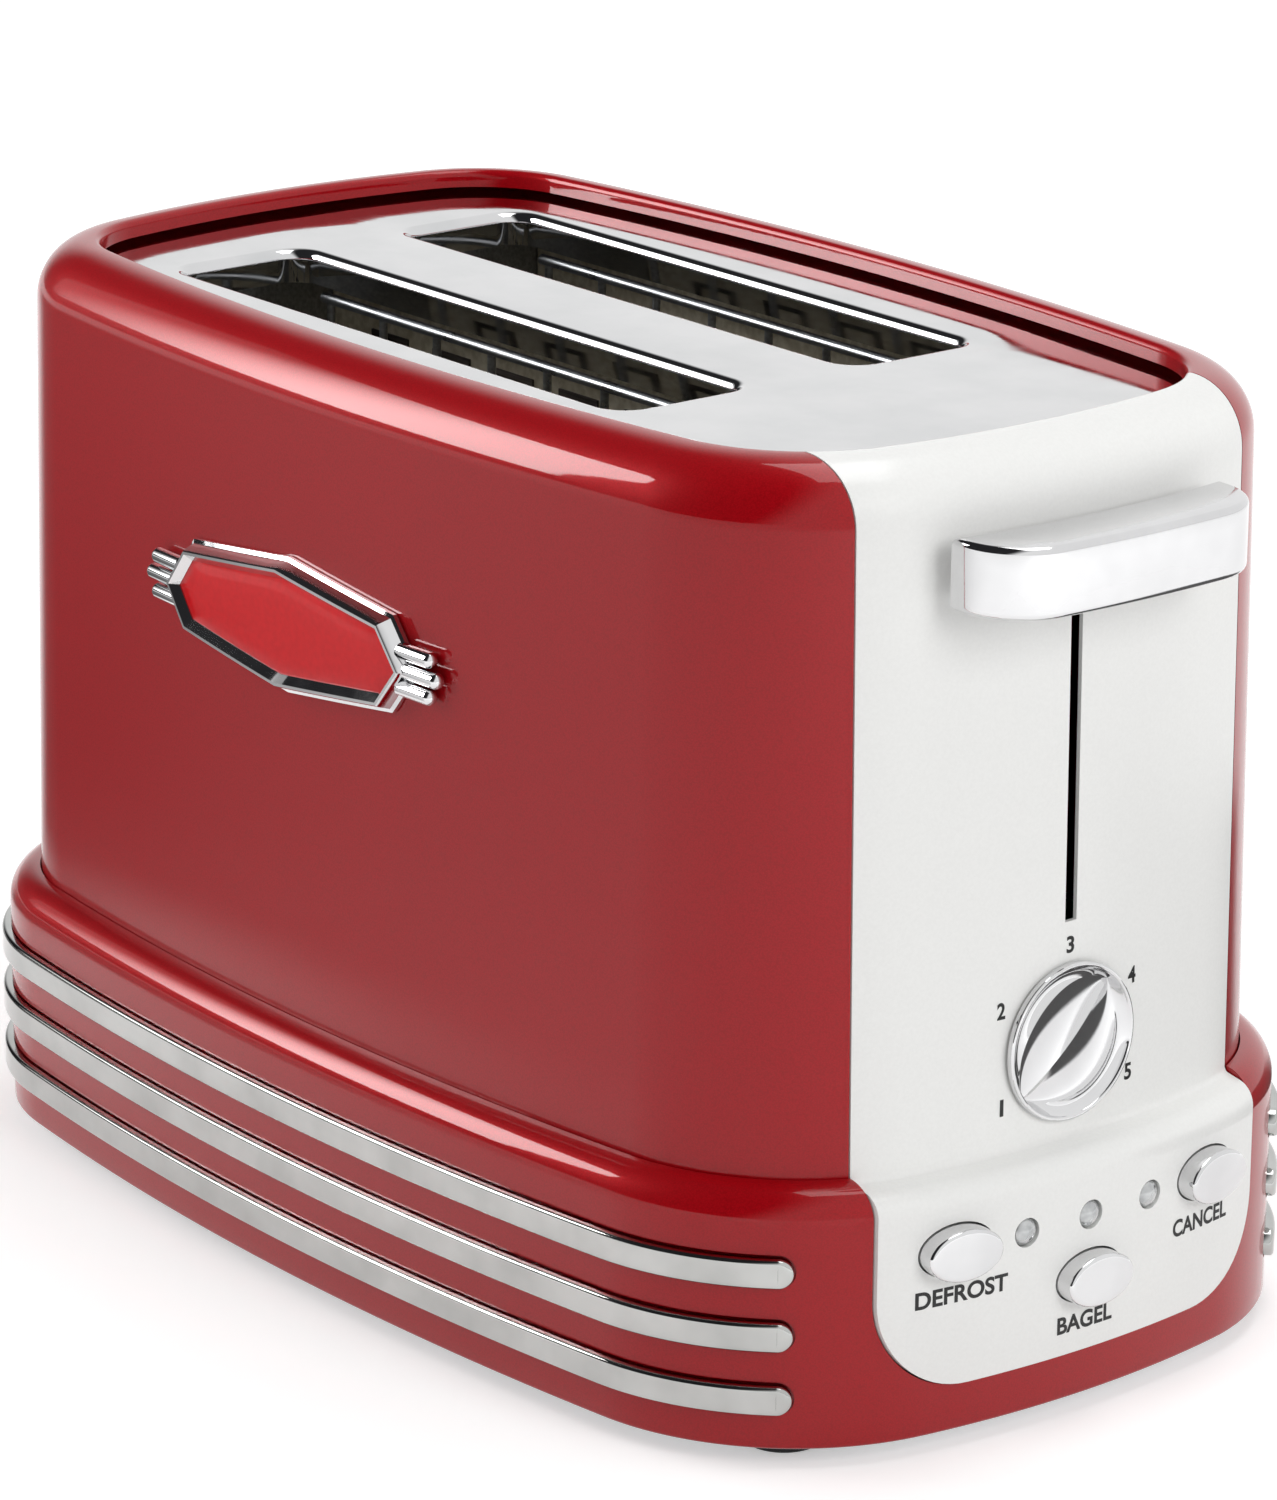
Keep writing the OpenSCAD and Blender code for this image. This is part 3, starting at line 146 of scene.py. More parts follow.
def edge_deg(off):
    """Angle on the front corner where the panel's seam crosses an offset outline."""
    return math.degrees(math.asin((housing_edge - front_c[1]) / (front_corner_r + off)))


def arc(c, r, a, b, n, share=0.0, sx=1, last=False):
    """Stations along one arc of the outline: centre, radius, angle, seam share, x sign, y sign."""
    return [(c, r, a + (b - a) * i / n, share * (1 - i / n), sx, 1) for i in range(n + last)]


def flank(first, share, fine):
    """Stations from an angle on the front corner along the +Y side to the middle of the rear end."""
    return (arc(front_c, front_corner_r, first, front_side_deg, 5 * fine, share)
            + arc(side_c, side_r, front_side_deg, 90, 4 * fine)
            + arc(side_c, side_r, 90, rear_side_deg, 4 * fine, sx=-1)
            + arc(rear_c, rear_corner_r, rear_side_deg, rear_end_deg, 5 * fine, sx=-1)
            + arc(end_c, end_r, rear_end_deg, 0, 3 * fine, sx=-1, last=True))


def mirrored(stations):
    return [s[:5] + (-1,) for s in reversed(stations)]


def open_path(first, share, fine=8):
    half = flank(first, share, fine)
    return half + mirrored(half[:-1])


def ring_path(fine=8):
    half = arc(end_c, end_r, 0, front_end_deg, 3 * fine) + flank(front_end_deg, 0.0, fine)
    return half + mirrored(half[1:-1])


def at(station, off):
    c, r, angle, share, sx, sy = station
    t = math.radians(angle + (share * (edge_deg(off) - edge_deg(0)) if share else 0))
    return sx * (c[0] + (r + off) * math.cos(t)), sy * (c[1] + (r + off) * math.sin(t))


def end_x(y, off):
    """Where the front end crosses a line at y, at an offset from the outline."""
    y = abs(y)
    if y <= (end_r + off) * math.sin(math.radians(front_end_deg)):
        return end_c[0] + math.sqrt((end_r + off) ** 2 - y * y)
    return front_c[0] + math.sqrt((front_corner_r + off) ** 2 - (y - front_c[1]) ** 2)


def curve(cx, cz, r, a, b, n):
    """Points of a round stretch of a profile, from angle a to angle b in degrees."""
    turns = [math.radians(a + (b - a) * i / n) for i in range(n + 1)]
    return [(cx + r * math.cos(t), cz + r * math.sin(t)) for t in turns]


# Pieces
def clean_mesh(name, points, faces, sharp):
    """A mesh from millimetre points, with doubles joined, normals outward and edges over an angle sharp."""
    mesh = bpy.data.meshes.new(name)
    shifted = [((x + shift_x) * MM, y * MM, z * MM) for x, y, z in points]
    mesh.from_pydata(shifted, [], faces)
    bm = bmesh.new()
    bm.from_mesh(mesh)
    bmesh.ops.remove_doubles(bm, verts=bm.verts, dist=0.002 * MM)
    bmesh.ops.recalc_face_normals(bm, faces=bm.faces)
    bm.to_mesh(mesh)
    bm.free()
    mesh.shade_smooth()
    mesh.set_sharp_from_angle(angle=math.radians(sharp))
    return mesh


def piece(name, points, faces, sharp=32.0):
    obj = bpy.data.objects.new(name, clean_mesh(name, points, faces, sharp))
    bpy.context.scene.collection.objects.link(obj)
    return obj


def settle(obj, body, finish, slot, *nodes):
    """Gives a piece its finish in a material slot, and sets it on its body in place of the CAD nodes. The slot
    argument is not used.
    """
    obj.data.materials.clear()
    obj.data.materials.append(finish)
    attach(obj, body)
    if nodes:
        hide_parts(*nodes)


def loft(rows, closed=False):
    """Points and faces of a skin through rows of points; each row is a closed loop."""
    n, m = len(rows[0]), len(rows)
    points = [p for row in rows for p in row]
    faces = []
    for i in range(m if closed else m - 1):
        for j in range(n):
            a, b, k = i * n, ((i + 1) % m) * n, (j + 1) % n
            faces.append((a + j, a + k, b + k, b + j))
    return points, faces


def join(points, faces, more, skin):
    """Adds another skin's points and faces to a skin."""
    faces += [tuple(k + len(points) for k in f) for f in skin]
    points += more


def strip_caps(rows, half):
    """Faces that close the two ends of a loft whose rows run out along one side and back along the other."""
    n, m = len(rows[0]), len(rows)
    faces = []
    for base in (0, (m - 1) * n):
        faces += [(base + j, base + n - 1 - j, base + n - 2 - j, base + j + 1) for j in range(half - 1)]
    return faces


def stacked(loops):
    """Points and faces of loops of equal count laid on each other, with a cap at each end."""
    n, m = len(loops[0]), len(loops)
    points, faces = loft(loops)
    return points, faces + [tuple(range(n)), tuple(range((m - 1) * n, m * n))]


def cut(obj, cutters):
    """Cuts cutters out of a piece and keeps its smooth normals, so that no shade shows round the holes."""
    mesh = obj.data
    normals = [corner.vector.copy() for corner in mesh.corner_normals]
    mesh.calc_loop_triangles()
    triangles = [tuple(t.vertices) for t in mesh.loop_triangles]
    corners = [tuple(t.loops) for t in mesh.loop_triangles]
    places = [v.co.copy() for v in mesh.vertices]
    tree = BVHTree.FromPolygons(places, triangles)
    for cutter in cutters:
        mod = obj.modifiers.new("cut", "BOOLEAN")
        mod.operation, mod.solver, mod.object = "DIFFERENCE", "MANIFOLD", cutter
    depsgraph = bpy.context.evaluated_depsgraph_get()
    done = bpy.data.meshes.new_from_object(obj.evaluated_get(depsgraph))
    obj.modifiers.clear()
    obj.data = done
    done.shade_smooth()
    loops = [Vector((0, 0, 1))] * len(done.loops)
    for face in done.polygons:
        for corner in face.loop_indices:
            spot = done.vertices[done.loops[corner].vertex_index].co
            hit, flat, index, reach = tree.find_nearest(spot)
            a, b, c = triangles[index]
            weights = barycentric(hit, places[a], places[b], places[c])
            soft = sum((normals[i] * share for i, share in zip(corners[index], weights)), Vector()).normalized()
            same_face = flat.dot(face.normal) > 0.9 and soft.dot(face.normal) > 0.8 and reach < 0.02 * MM
            loops[corner] = soft if same_face else face.normal.copy()
    done.normals_split_custom_set(loops)
    for cutter in cutters:
        bpy.data.objects.remove(cutter)
    return obj


def barycentric(p, a, b, c):
    """Shares of a triangle's corners at a point; a triangle without an area gives its first corner."""
    v0, v1, v2 = b - a, c - a, p - a
    d00, d01, d11, d20, d21 = v0.dot(v0), v0.dot(v1), v1.dot(v1), v2.dot(v0), v2.dot(v1)
    area = d00 * d11 - d01 * d01
    if abs(area) < 1e-20:
        return 1.0, 0.0, 0.0
    v, w = (d11 * d20 - d01 * d21) / area, (d00 * d21 - d01 * d20) / area
    return 1 - v - w, v, w


def prism(name, outline, place, low, high):
    """A straight piece or cutter: outline points taken by place(u, v, w) from level low to level high."""
    rows = [[place(u, v, w) for u, v in outline] for w in (low, high)]
    return piece(name, *stacked(rows))


def panel_frame(y, z, off):
    """Function that takes (right, up, out) at a place on the panel to a point in the part's frame."""
    turn = math.asin(y / (end_r + off))
    x, s, c = end_x(y, off), math.sin(turn), math.cos(turn)
    return lambda u, v, w: (x - u * s + w * c, y + u * c + w * s, z + v)


def ellipse(a, b, n=64):
    turns = [2 * math.pi * i / n for i in range(n)]
    return [(a * math.cos(t), b * math.sin(t)) for t in turns]


def circle(r, n=64):
    return ellipse(r, r, n)


def oblong(half, low, high):
    return [(-half, low), (half, low), (half, high), (-half, high)]


def along_x(u, v, w):
    """Place for a prism that runs along X."""
    return w, u, v


def turned_piece(name, profile, place, n=56):
    """A turned piece from (radius, level) points."""
    loops = [[place(u, v, w) for u, v in circle(r, n)] for r, w in profile]
    return piece(name, *stacked(loops), sharp=35)


# Materials
def srgb(code):
    """Linear colour of a hex sRGB value."""
    parts = [int(code[i:i + 2], 16) / 255 for i in (1, 3, 5)]
    return tuple(p / 12.92 if p <= 0.04045 else ((p + 0.055) / 1.055) ** 2.4 for p in parts) + (1.0,)


def add(tree, kind, inputs=None, **settings):
    """Adds a node with its settings; an input is a value, or another node's output that is linked to it."""
    node = tree.nodes.new(kind)
    for key, value in settings.items():
        setattr(node, key, value)
    for key, value in (inputs or {}).items():
        if isinstance(value, bpy.types.NodeSocket):
            tree.links.new(value, node.inputs[key])
        else:
            node.inputs[key].default_value = value
    return node


def bare(name):
    """A new material with an empty node tree, and the object's coordinates."""
    mat = bpy.data.materials.new(name)
    mat.use_nodes = True
    tree = mat.node_tree
    tree.nodes.clear()
    return mat, tree, add(tree, "ShaderNodeTexCoord").outputs["Object"]


def start(name, finish=None):
    """A new material with its node tree, its shader with the values of a finish, and the object's coordinates."""
    mat, tree, where = bare(name)
    shader = add(tree, "ShaderNodeBsdfPrincipled", finish)
    add(tree, "ShaderNodeOutputMaterial", {"Surface": shader.outputs["BSDF"]})
    return mat, tree, shader, where


def per_mm(size):
    """Pattern scale for a feature of a size in millimetres."""
    return 1 / (size * MM)


def two_tone(tree, shader, where, dark, light, size):
    """Lets a shader's colour wander between two tones over patches of a size; returns the pattern."""
    noise = add(tree, "ShaderNodeTexNoise", {"Vector": where, "Scale": per_mm(size), "Detail": 3.0})
    share = add(tree, "ShaderNodeMapRange", {"Value": noise.outputs["Fac"], "From Min": 0.35, "From Max": 0.65})
    mix = add(tree, "ShaderNodeMix", {0: share.outputs["Result"], 6: srgb(dark), 7: srgb(light)}, data_type="RGBA")
    tree.links.new(mix.outputs[2], shader.inputs["Base Color"])
    return noise.outputs["Fac"]


def relief(tree, shader, height, depth, socket="Normal", strength=1.0):
    """Raises a shader's surface by a pattern, with its depth in millimetres."""
    bump = add(tree, "ShaderNodeBump", {"Height": height, "Distance": depth * MM, "Strength": strength})
    tree.links.new(bump.outputs["Normal"], shader.inputs[socket])


def vary_roughness(tree, shader, where, size, low, high):
    """Lets a shader's roughness wander between two values over patches of a size."""
    noise = add(tree, "ShaderNodeTexNoise", {"Vector": where, "Scale": per_mm(size), "Detail": 4.0})
    span = add(tree, "ShaderNodeMapRange",
               {"Value": noise.outputs["Fac"], "From Min": 0.3, "From Max": 0.7, "To Min": low, "To Max": high})
    tree.links.new(span.outputs["Result"], shader.inputs["Roughness"])


def red_lacquer():
    """Candy lacquer sprayed over steel: deep red with a trace of flake, under a clear coat with an orange peel.
    The red keeps its depth from every side, and the coat gives sharp highlights. The flake is drawn coarse,
    so that it shows."""
    mat, tree, shader, where = start("candy_red_lacquer_on_steel", {
        "Metallic": 0.08, "Specular IOR Level": 0.3, "Specular Tint": srgb("#C01820"), "Roughness": 0.38,
        "Coat Weight": 0.85, "Coat Roughness": 0.04, "Coat IOR": 1.42})
    flake = add(tree, "ShaderNodeTexVoronoi", {"Vector": where, "Scale": per_mm(0.35)})
    glint = add(tree, "ShaderNodeMapRange",
                {"Value": flake.outputs["Distance"], "From Max": 0.8, "To Min": 0.1, "To Max": 0.9})
    tone = add(tree, "ShaderNodeMix", {0: glint.outputs["Result"], 6: srgb("#B20A16"), 7: srgb("#94060F")},
               data_type="RGBA")
    tree.links.new(tone.outputs[2], shader.inputs["Base Color"])
    peel = add(tree, "ShaderNodeTexNoise", {"Vector": where, "Scale": per_mm(5.0), "Detail": 2.0})
    relief(tree, shader, peel.outputs["Fac"], 0.012, "Coat Normal")
    return mat


def white_abs():
    """Gloss moulded ABS: white, with the fine grain and the even haze that polished tooling leaves."""
    mat, tree, shader, where = start("white_gloss_abs")
    tone = two_tone(tree, shader, where, "#F3F3F1", "#F6F6F4", 0.7)
    relief(tree, shader, tone, 0.004, strength=0.4)
    vary_roughness(tree, shader, where, 0.9, 0.2, 0.26)
    return mat


def chrome(name, light, dark):
    """Bright chrome plate: a clear mirror, with a slight wave of the part under it and a faint wiped haze."""
    mat, tree, shader, where = start(name, {"Metallic": 1.0})
    tone = two_tone(tree, shader, where, dark, light, 18.0)
    relief(tree, shader, tone, 0.03, strength=0.35)
    vary_roughness(tree, shader, where, 6.0, 0.03, 0.09)
    return mat


def rolled_steel(name, dark, light, low, high):
    """Cold-rolled sheet or drawn wire: satin grey with fine lines along the rolling."""
    mat, tree, shader, where = start(name, {"Metallic": 1.0})
    long_grain = add(tree, "ShaderNodeMapping", {"Vector": where, "Scale": (0.04, 1.0, 1.0)}).outputs["Vector"]
    tone = two_tone(tree, shader, long_grain, dark, light, 0.8)
    relief(tree, shader, tone, 0.01, strength=0.5)
    vary_roughness(tree, shader, where, 8.0, low, high)
    return mat


def plain_moulding(name, dark, light, grain, depth, low, high):
    """Moulded or laminated piece with a fine grain: colour patches, a slight relief and uneven gloss."""
    mat, tree, shader, where = start(name)
    tone = two_tone(tree, shader, where, dark, light, grain)
    relief(tree, shader, tone, depth, strength=0.6)
    vary_roughness(tree, shader, where, 4 * grain, low, high)
    return mat


def winding():
    """Enamelled copper wire wound on a bobbin: turns half a millimetre apart, drawn as round ridges."""
    mat, tree, shader, where = start("enamelled_copper_winding", {"Metallic": 1.0, "Roughness": 0.35})
    turns = add(tree, "ShaderNodeTexWave", {"Vector": where, "Scale": per_mm(0.5) / 20}, bands_direction="Z")
    relief(tree, shader, turns.outputs["Fac"], 0.2)
    two_tone(tree, shader, where, "#8E4A1E", "#B96A30", 3.0)
    return mat


def lens_plastic():
    """Clear acrylic dome moulded over a bright reflector: grey, with the room's light and dark along its edge."""
    mat, tree, shader, where = start("clear_acrylic_over_reflector", {
        "Metallic": 0.7, "Roughness": 0.16, "Coat Weight": 1.0, "Coat IOR": 1.49})
    tone = two_tone(tree, shader, where, "#A9ABAC", "#C6C8C8", 2.4)
    relief(tree, shader, tone, 0.01)
    return mat


def enamel():
    """Poured red enamel: deep clear red that settles a little unevenly, under a wet gloss."""
    mat, tree, shader, where = start("poured_red_enamel", {
        "Roughness": 0.3, "Specular IOR Level": 0.2, "Coat Weight": 0.35, "Coat Roughness": 0.03})
    two_tone(tree, shader, where, "#D20812", "#DA0C16", 1.5)
    return mat


paint = red_lacquer()
white = white_abs()
trim = chrome("bright_chrome_plate", "#DEDEDF", "#D6D6D7")
mirror = chrome("polished_chrome_sheet", "#D6D6D7", "#CDCECF")
ink = plain_moulding("black_screen_ink", "#141414", "#1D1D1D", 0.4, 0.005, 0.45, 0.6)
rubber = plain_moulding("black_rubber", "#141415", "#222224", 0.8, 0.06, 0.65, 0.85)
strip = chrome("polished_steel_strip", "#BDBEBC", "#ADAEAC")
finishes = {
    "sheet_steel": rolled_steel("rolled_steel_sheet", "#9A9C9F", "#B8BABD", 0.28, 0.42),
    "steel_wire": rolled_steel("drawn_steel_wire", "#909295", "#ABADB0", 0.25, 0.38),
    "heating_ribbon": rolled_steel("oxidised_heating_ribbon", "#4A4441", "#6B645F", 0.4, 0.6),
    "mica": plain_moulding("pressed_mica", "#B9AE95", "#D6CDB7", 2.0, 0.05, 0.4, 0.65),
    "rubber": rubber,
    "black_plastic": plain_moulding("black_abs", "#1F1F21", "#2C2C2F", 1.0, 0.03, 0.35, 0.5),
    "ivory_plastic": plain_moulding("ivory_nylon", "#DAD7CB", "#E9E6DC", 1.5, 0.03, 0.4, 0.55),
    "board_laminate": plain_moulding("green_glass_laminate", "#164B2E", "#21633E", 1.2, 0.02, 0.25, 0.4),
    "copper_winding": winding(),
    "clear_lens": lens_plastic(),
    "red_enamel": enamel(),
    "red_paint": paint,
    "white_plastic": white,
    "chrome_trim": trim,
    "chrome_plate": mirror,
}


# Shells
def rim_profile(t, base):
    """Outer and inner points of a wall with its rounded rim, from the point base up."""
    outer = [base] + curve(rim_off, rim_z, rim_r, 0, 90, 14)
    outer += curve(rim_off, body_h - rim_edge_r, rim_edge_r, 90, 180, 6)[1:]
    outer += [(rim_off - rim_edge_r, body_h - rim_lip)]
    inner = [(base[0] - t, base[1])] + curve(rim_off, rim_z, rim_r - t, 0, 90, 14)
    inner += [(rim_off, body_h - t - (rim_lip - t) * i / 7) for i in range(1, 8)]
    return outer, inner


def upper_housing():
    low = crease_z - housing_tuck
    base = (wall_off(low), low)
    outer, inner = rim_profile(wall, base)
    section = outer + inner[::-1]
    rows = [[at(s, off) + (z,) for off, z in section] for s in open_path(edge_deg(0), 1.0)]
    points, faces = loft(rows)
    shell = piece("housing_shell", points, faces + strip_caps(rows, len(outer)), sharp=40)
    x, reach = -end_x(0, wall_off(gland_z)), gland_t + 2 * wall
    hole = prism("gland_hole", circle(gland_d / 2 + seam), lambda u, v, w: (x + w, u, gland_z + v), -reach, reach)
    settle(cut(shell, [hole]), "body", paint, "red_paint", "upper_housing")


def band_stations():
    """Places along a band, and their distance from its first tip."""
    stations = open_path(band_end, 0.0, 10)
    spots = np.array([at(s, skirt_out) for s in stations])
    along = np.concatenate([[0], np.cumsum(np.linalg.norm(np.diff(spots, axis=0), axis=1))])
    return stations, along


def band_point(stations, along, s, off):
    """Point at a distance along the band's path and at an offset from the outline."""
    i = int(np.clip(np.searchsorted(along, s) - 1, 0, len(along) - 2))
    share = (s - along[i]) / (along[i + 1] - along[i])
    a, b = at(stations[i], off), at(stations[i + 1], off)
    return a[0] + (b[0] - a[0]) * share, a[1] + (b[1] - a[1]) * share


def band_skin(low, grow, levels):
    """A strip with round tips along the skirt; each level is (offset from the skirt, inset of its edge).
    The bevel is wider round the tips."""
    stations, along = band_stations()
    r, mid, length = band_h / 2 + grow, low + band_h / 2, along[-1]
    tip_n = 12
    tips = [90 - 90 * i / tip_n for i in range(tip_n + 1)]
    rows = [(r - grow, deg, -1) for deg in tips]
    rows += [(s, 0.0, 0) for s in along if r < s < length - r]
    rows += [(length + grow - r, deg, 1) for deg in reversed(tips)]
    skin = []
    for s, deg, side in rows:
        turn = math.radians(deg)
        lower, upper = [], []
        for off, inset in levels:
            reach = r - inset
            tip = (r - tip_bevel * inset) * math.sin(turn)
            p = band_point(stations, along, s + side * tip, skirt_out + off)
            lower.append(p + (mid - reach * math.cos(turn),))
            upper.append(p + (mid + reach * math.cos(turn),))
        skin.append(lower + upper[::-1])
    return loft(skin)


def band_levels():
    """Offsets and insets of a band's bevelled face."""
    top, b = band_out + seam / 2, band_bevel
    bevel = curve(0, 0, b, 0, 90, 4)
    return [(-recess_depth, 0.0)] + [(top - b + z, b - x) for x, z in bevel] + [(top, 1.6 * b)]


def band_low_z(i):
    return foot_gap + band_low + i * band_pitch


def tongue_half(z):
    """Half width of the panel's tongue, whose lower corners are round."""
    drop = max(0.0, tongue_z + tongue_r - z)
    return panel_half - tongue_r + math.sqrt(max(0.0, tongue_r ** 2 - drop ** 2))


def base_skirt():
    """Skirt with a round shoulder, cut out for the panel's tongue, the crumb tray and the bands."""
    edge, inner_r, top_r = 0.8, shoulder_r - skirt_t, shoulder_r - skirt_out + seam
    top, inner_top = math.degrees(math.acos(top_r / shoulder_r)), math.degrees(math.acos(top_r / inner_r))
    outer = [(skirt_out - edge, foot_gap)] + curve(skirt_out - edge, foot_gap + edge, edge, -90, 0, 4)[1:]
    outer += [(skirt_out, z) for z in np.linspace(foot_gap + 4, straight_z - 2, 6)]
    outer += curve(skirt_out - shoulder_r, straight_z, shoulder_r, 0, top, 14)
    inner = [(skirt_out - skirt_t, foot_gap)] + curve(skirt_out - shoulder_r, straight_z, inner_r, 0, inner_top, 14)
    section = outer + inner[::-1]
    rows = [[at(s, off) + (z,) for off, z in section] for s in ring_path()]
    shell = piece("skirt_shell", *loft(rows, closed=True), sharp=40)
    side = curve(panel_half - tongue_r, tongue_z + tongue_r, tongue_r + seam, -90, 0, 24) + [(housing_edge, body_h)]
    tongue = prism("tongue_notch", side + [(-y, z) for y, z in side[::-1]], along_x,
                   end_x(panel_half, 0) - 2 * skirt_out, half_l + 3 * skirt_out)
    _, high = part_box("tray_grip")
    tray = prism("tray_notch", oblong(high.y / MM - slide_gap, 0, high.z / MM), along_x,
                 -half_l - 2 * skirt_out, -half_l + 3 * skirt_out)
    recess = [(-recess_depth, 0.0), (band_out + 2, 0.0)]
    grooves = [piece("band_recess", *band_skin(band_low_z(i), recess_gap, recess)) for i in range(3)]
    settle(cut(shell, [tongue, tray] + grooves), "body", paint, "red_paint", "base_skirt")


def bands():
    for i, node in enumerate(("lower_band", "middle_band", "upper_band")):
        band = piece("trim_" + node, *band_skin(band_low_z(i), 0.0, band_levels()), sharp=50)
        settle(band, "body", strip, "chrome_trim", node)


def panel_profile(depth):
    """Offsets and heights of the panel's face, moved in by a depth, from the tongue's foot to the rim's foot."""
    both, lean = hollow_r + tongue_shoulder_r, math.radians(ledge_deg)
    ledge_l = (tongue_off - both * (1 - math.cos(lean))) / math.sin(lean)
    ledge_z = crease_z - both * math.sin(lean) - ledge_l * math.cos(lean)
    face = [(tongue_off - depth, z) for _, z in curve(0, tongue_z + tongue_r, tongue_r, -90, 0, 16)]
    face += [(tongue_off - depth, z) for z in np.linspace(face[-1][1] + 3, ledge_z - 2, 4)]
    face += curve(tongue_off - tongue_shoulder_r, ledge_z, tongue_shoulder_r - depth, 0, ledge_deg, 12)
    face += curve(hollow_r, crease_z, hollow_r + depth, 180 + ledge_deg, 180, 12)
    face += [(wall_off(z) - depth, z) for z in np.linspace(crease_z + 6, rim_z - 6, 12)]
    return face


panel_face = panel_profile(0.0)


def panel_off(z):
    """Offset of the panel's face from the plan outline at a height."""
    return float(np.interp(z, [q[1] for q in panel_face], [q[0] for q in panel_face]))


def control_panel():
    lip_outer, lip_inner = rim_profile(panel_t, (wall_off(rim_z), rim_z))
    outer = panel_face + lip_outer[1:]
    inner = panel_profile(panel_t) + lip_inner[1:]
    section = outer + inner[::-1]
    across = 72
    rows = []
    for i in range(-across // 2, across // 2 + 1):
        widths = [tongue_half(z) * 2 * i / across for off, z in section]
        rows.append([(end_x(y, off), y, z) for y, (off, z) in zip(widths, section)])
    points, faces = loft(rows)
    shell = piece("panel_shell", points, faces + strip_caps(rows, len(outer)), sharp=40)
    half, low, high = arm_t / 2 + arm_gap, lever_low - arm_h / 2 - slot_run, lever_z + arm_h / 2 + arm_gap
    more, deep, through = slot_relief, 20.0, 8.0
    cutters = [prism("lever_slot", oblong(half, low, high), along_x, half_l - deep, half_l + through),
               prism("slot_pocket", oblong(half + more, low - more, high + more),
                     lambda u, v, w: (half_l + wall_off(v) + w, u, v), -deep, -slot_edge)]
    holes = [("knob_hole", circle(knob_body_d / 2 + slide_gap, 96), panel_frame(0, knob_z, wall_off(knob_z)))]
    oval = ellipse(button_w / 2 + slide_gap, button_h / 2 + slide_gap)
    holes += [("button_hole", oval, panel_frame(y, z, tongue_off)) for y, z in buttons.values()]
    ring = circle(lens_d / 2 + lens_gap, 40)
    holes += [("lens_hole", ring, panel_frame(y, lens_z, tongue_off)) for y in (-lens_pitch, 0, lens_pitch)]
    cutters += [prism(*hole, -through, through) for hole in holes]
    settle(cut(shell, cutters), "body", white, "white_plastic", "control_panel")


# Top plate
def slot_outline(grow):
    """Rounded outline of a bread slot, grown by a distance, about its middle."""
    r, l, w = slot_r + grow, slot_l / 2 + grow, slot_w / 2 + grow
    outline = []
    for k, (sx, sy) in enumerate(((1, 1), (-1, 1), (-1, -1), (1, -1))):
        outline += curve(sx * (l - r), sy * (w - r), r, 90 * k, 90 * k + 90, 10)
    return outline


def top_plate():
    """Pressed sheet whose slot edges roll down into short flanges."""
    mid_x, mid_y = slot_front - slot_l / 2, (slot_gap + slot_w) / 2
    ring = [at(s, rim_off + plate_under) for s in ring_path(6)]
    slots = [[(mid_x + u, side * mid_y + v) for u, v in slot_outline(slot_roll)] for side in (-1, 1)]
    flat, loops = [], []
    for loop in [ring] + slots:
        loops.append(list(range(len(flat), len(flat) + len(loop))))
        flat += [Vector(p) for p in loop]
    spots, _, skin, *_ = delaunay_2d_cdt(flat, [], loops, 2, 1e-5)
    points, faces = [], []
    for z in (plate_z, plate_z - plate_t):
        join(points, faces, [(p.x, p.y, z) for p in spots], skin)
    section = [(slot_roll - u, plate_z - slot_roll + v) for u, v in curve(0, 0, slot_roll, 90, 0, 8)]
    section += [(0, plate_z - plate_t - flange_h), (plate_t, plate_z - plate_t - flange_h)]
    section += [(plate_t, plate_z - slot_roll - plate_t / 2), (slot_roll, plate_z - plate_t)]
    walls = [[[p + (z,) for p in ring] for z in (plate_z, plate_z - plate_t)]]
    for side in (-1, 1):
        walls.append([[(mid_x + u, side * mid_y + v, z) for u, v in slot_outline(g)] for g, z in section])
    for rows in walls:
        join(points, faces, *loft(rows))
    settle(piece("plate_sheet", points, faces, sharp=35), "body", mirror, "chrome_plate", "top_plate")


# Lever handle
def handle_outline(inset):
    """Plan of the handle with its edge moved in: bowed front, round corners, slanted ends, back along the panel."""
    front_x = handle_back + handle_d - handle_front_r
    front_deg = math.degrees(math.asin(handle_flat / 2 / handle_front_r))
    reach = handle_front_r - handle_corner_r
    x, y = front_x + reach * math.cos(math.radians(front_deg)), reach * math.sin(math.radians(front_deg))
    half = curve(front_x, 0, handle_front_r - inset, 0, front_deg, 24)
    half += curve(x, y, handle_corner_r - inset, front_deg, handle_slant, 14)[1:]
    back_r = handle_back - end_c[0] + inset
    run = np.array([-math.sin(math.radians(handle_slant)), math.cos(math.radians(handle_slant))])
    first = np.array(half[-1]) - end_c
    slope = first @ run
    tip = first - (slope + math.sqrt(slope ** 2 - first @ first + back_r ** 2)) * run
    half += [tuple(end_c + first + (tip - first) * i / 6) for i in range(1, 6)]
    half += curve(end_c[0], 0, back_r, math.degrees(math.asin(tip[1] / back_r)), 0, 24)
    return half + [(p, -q) for p, q in half[-2:0:-1]]


def lever_handle():
    b = handle_edge_r
    edge = curve(0, 0, b, 0, 90, 6)
    levels = [(-handle_h / 2 + b - z, b - x) for x, z in reversed(edge)]
    levels += [(handle_h / 2 - b + z, b - x) for x, z in edge]
    loops = [[p + (lever_z + level,) for p in handle_outline(inset)] for level, inset in levels]
    bow = piece("handle_bow", *stacked(loops), sharp=40)
    settle(bow, "carriage", trim, "chrome_trim", "lever_handle")


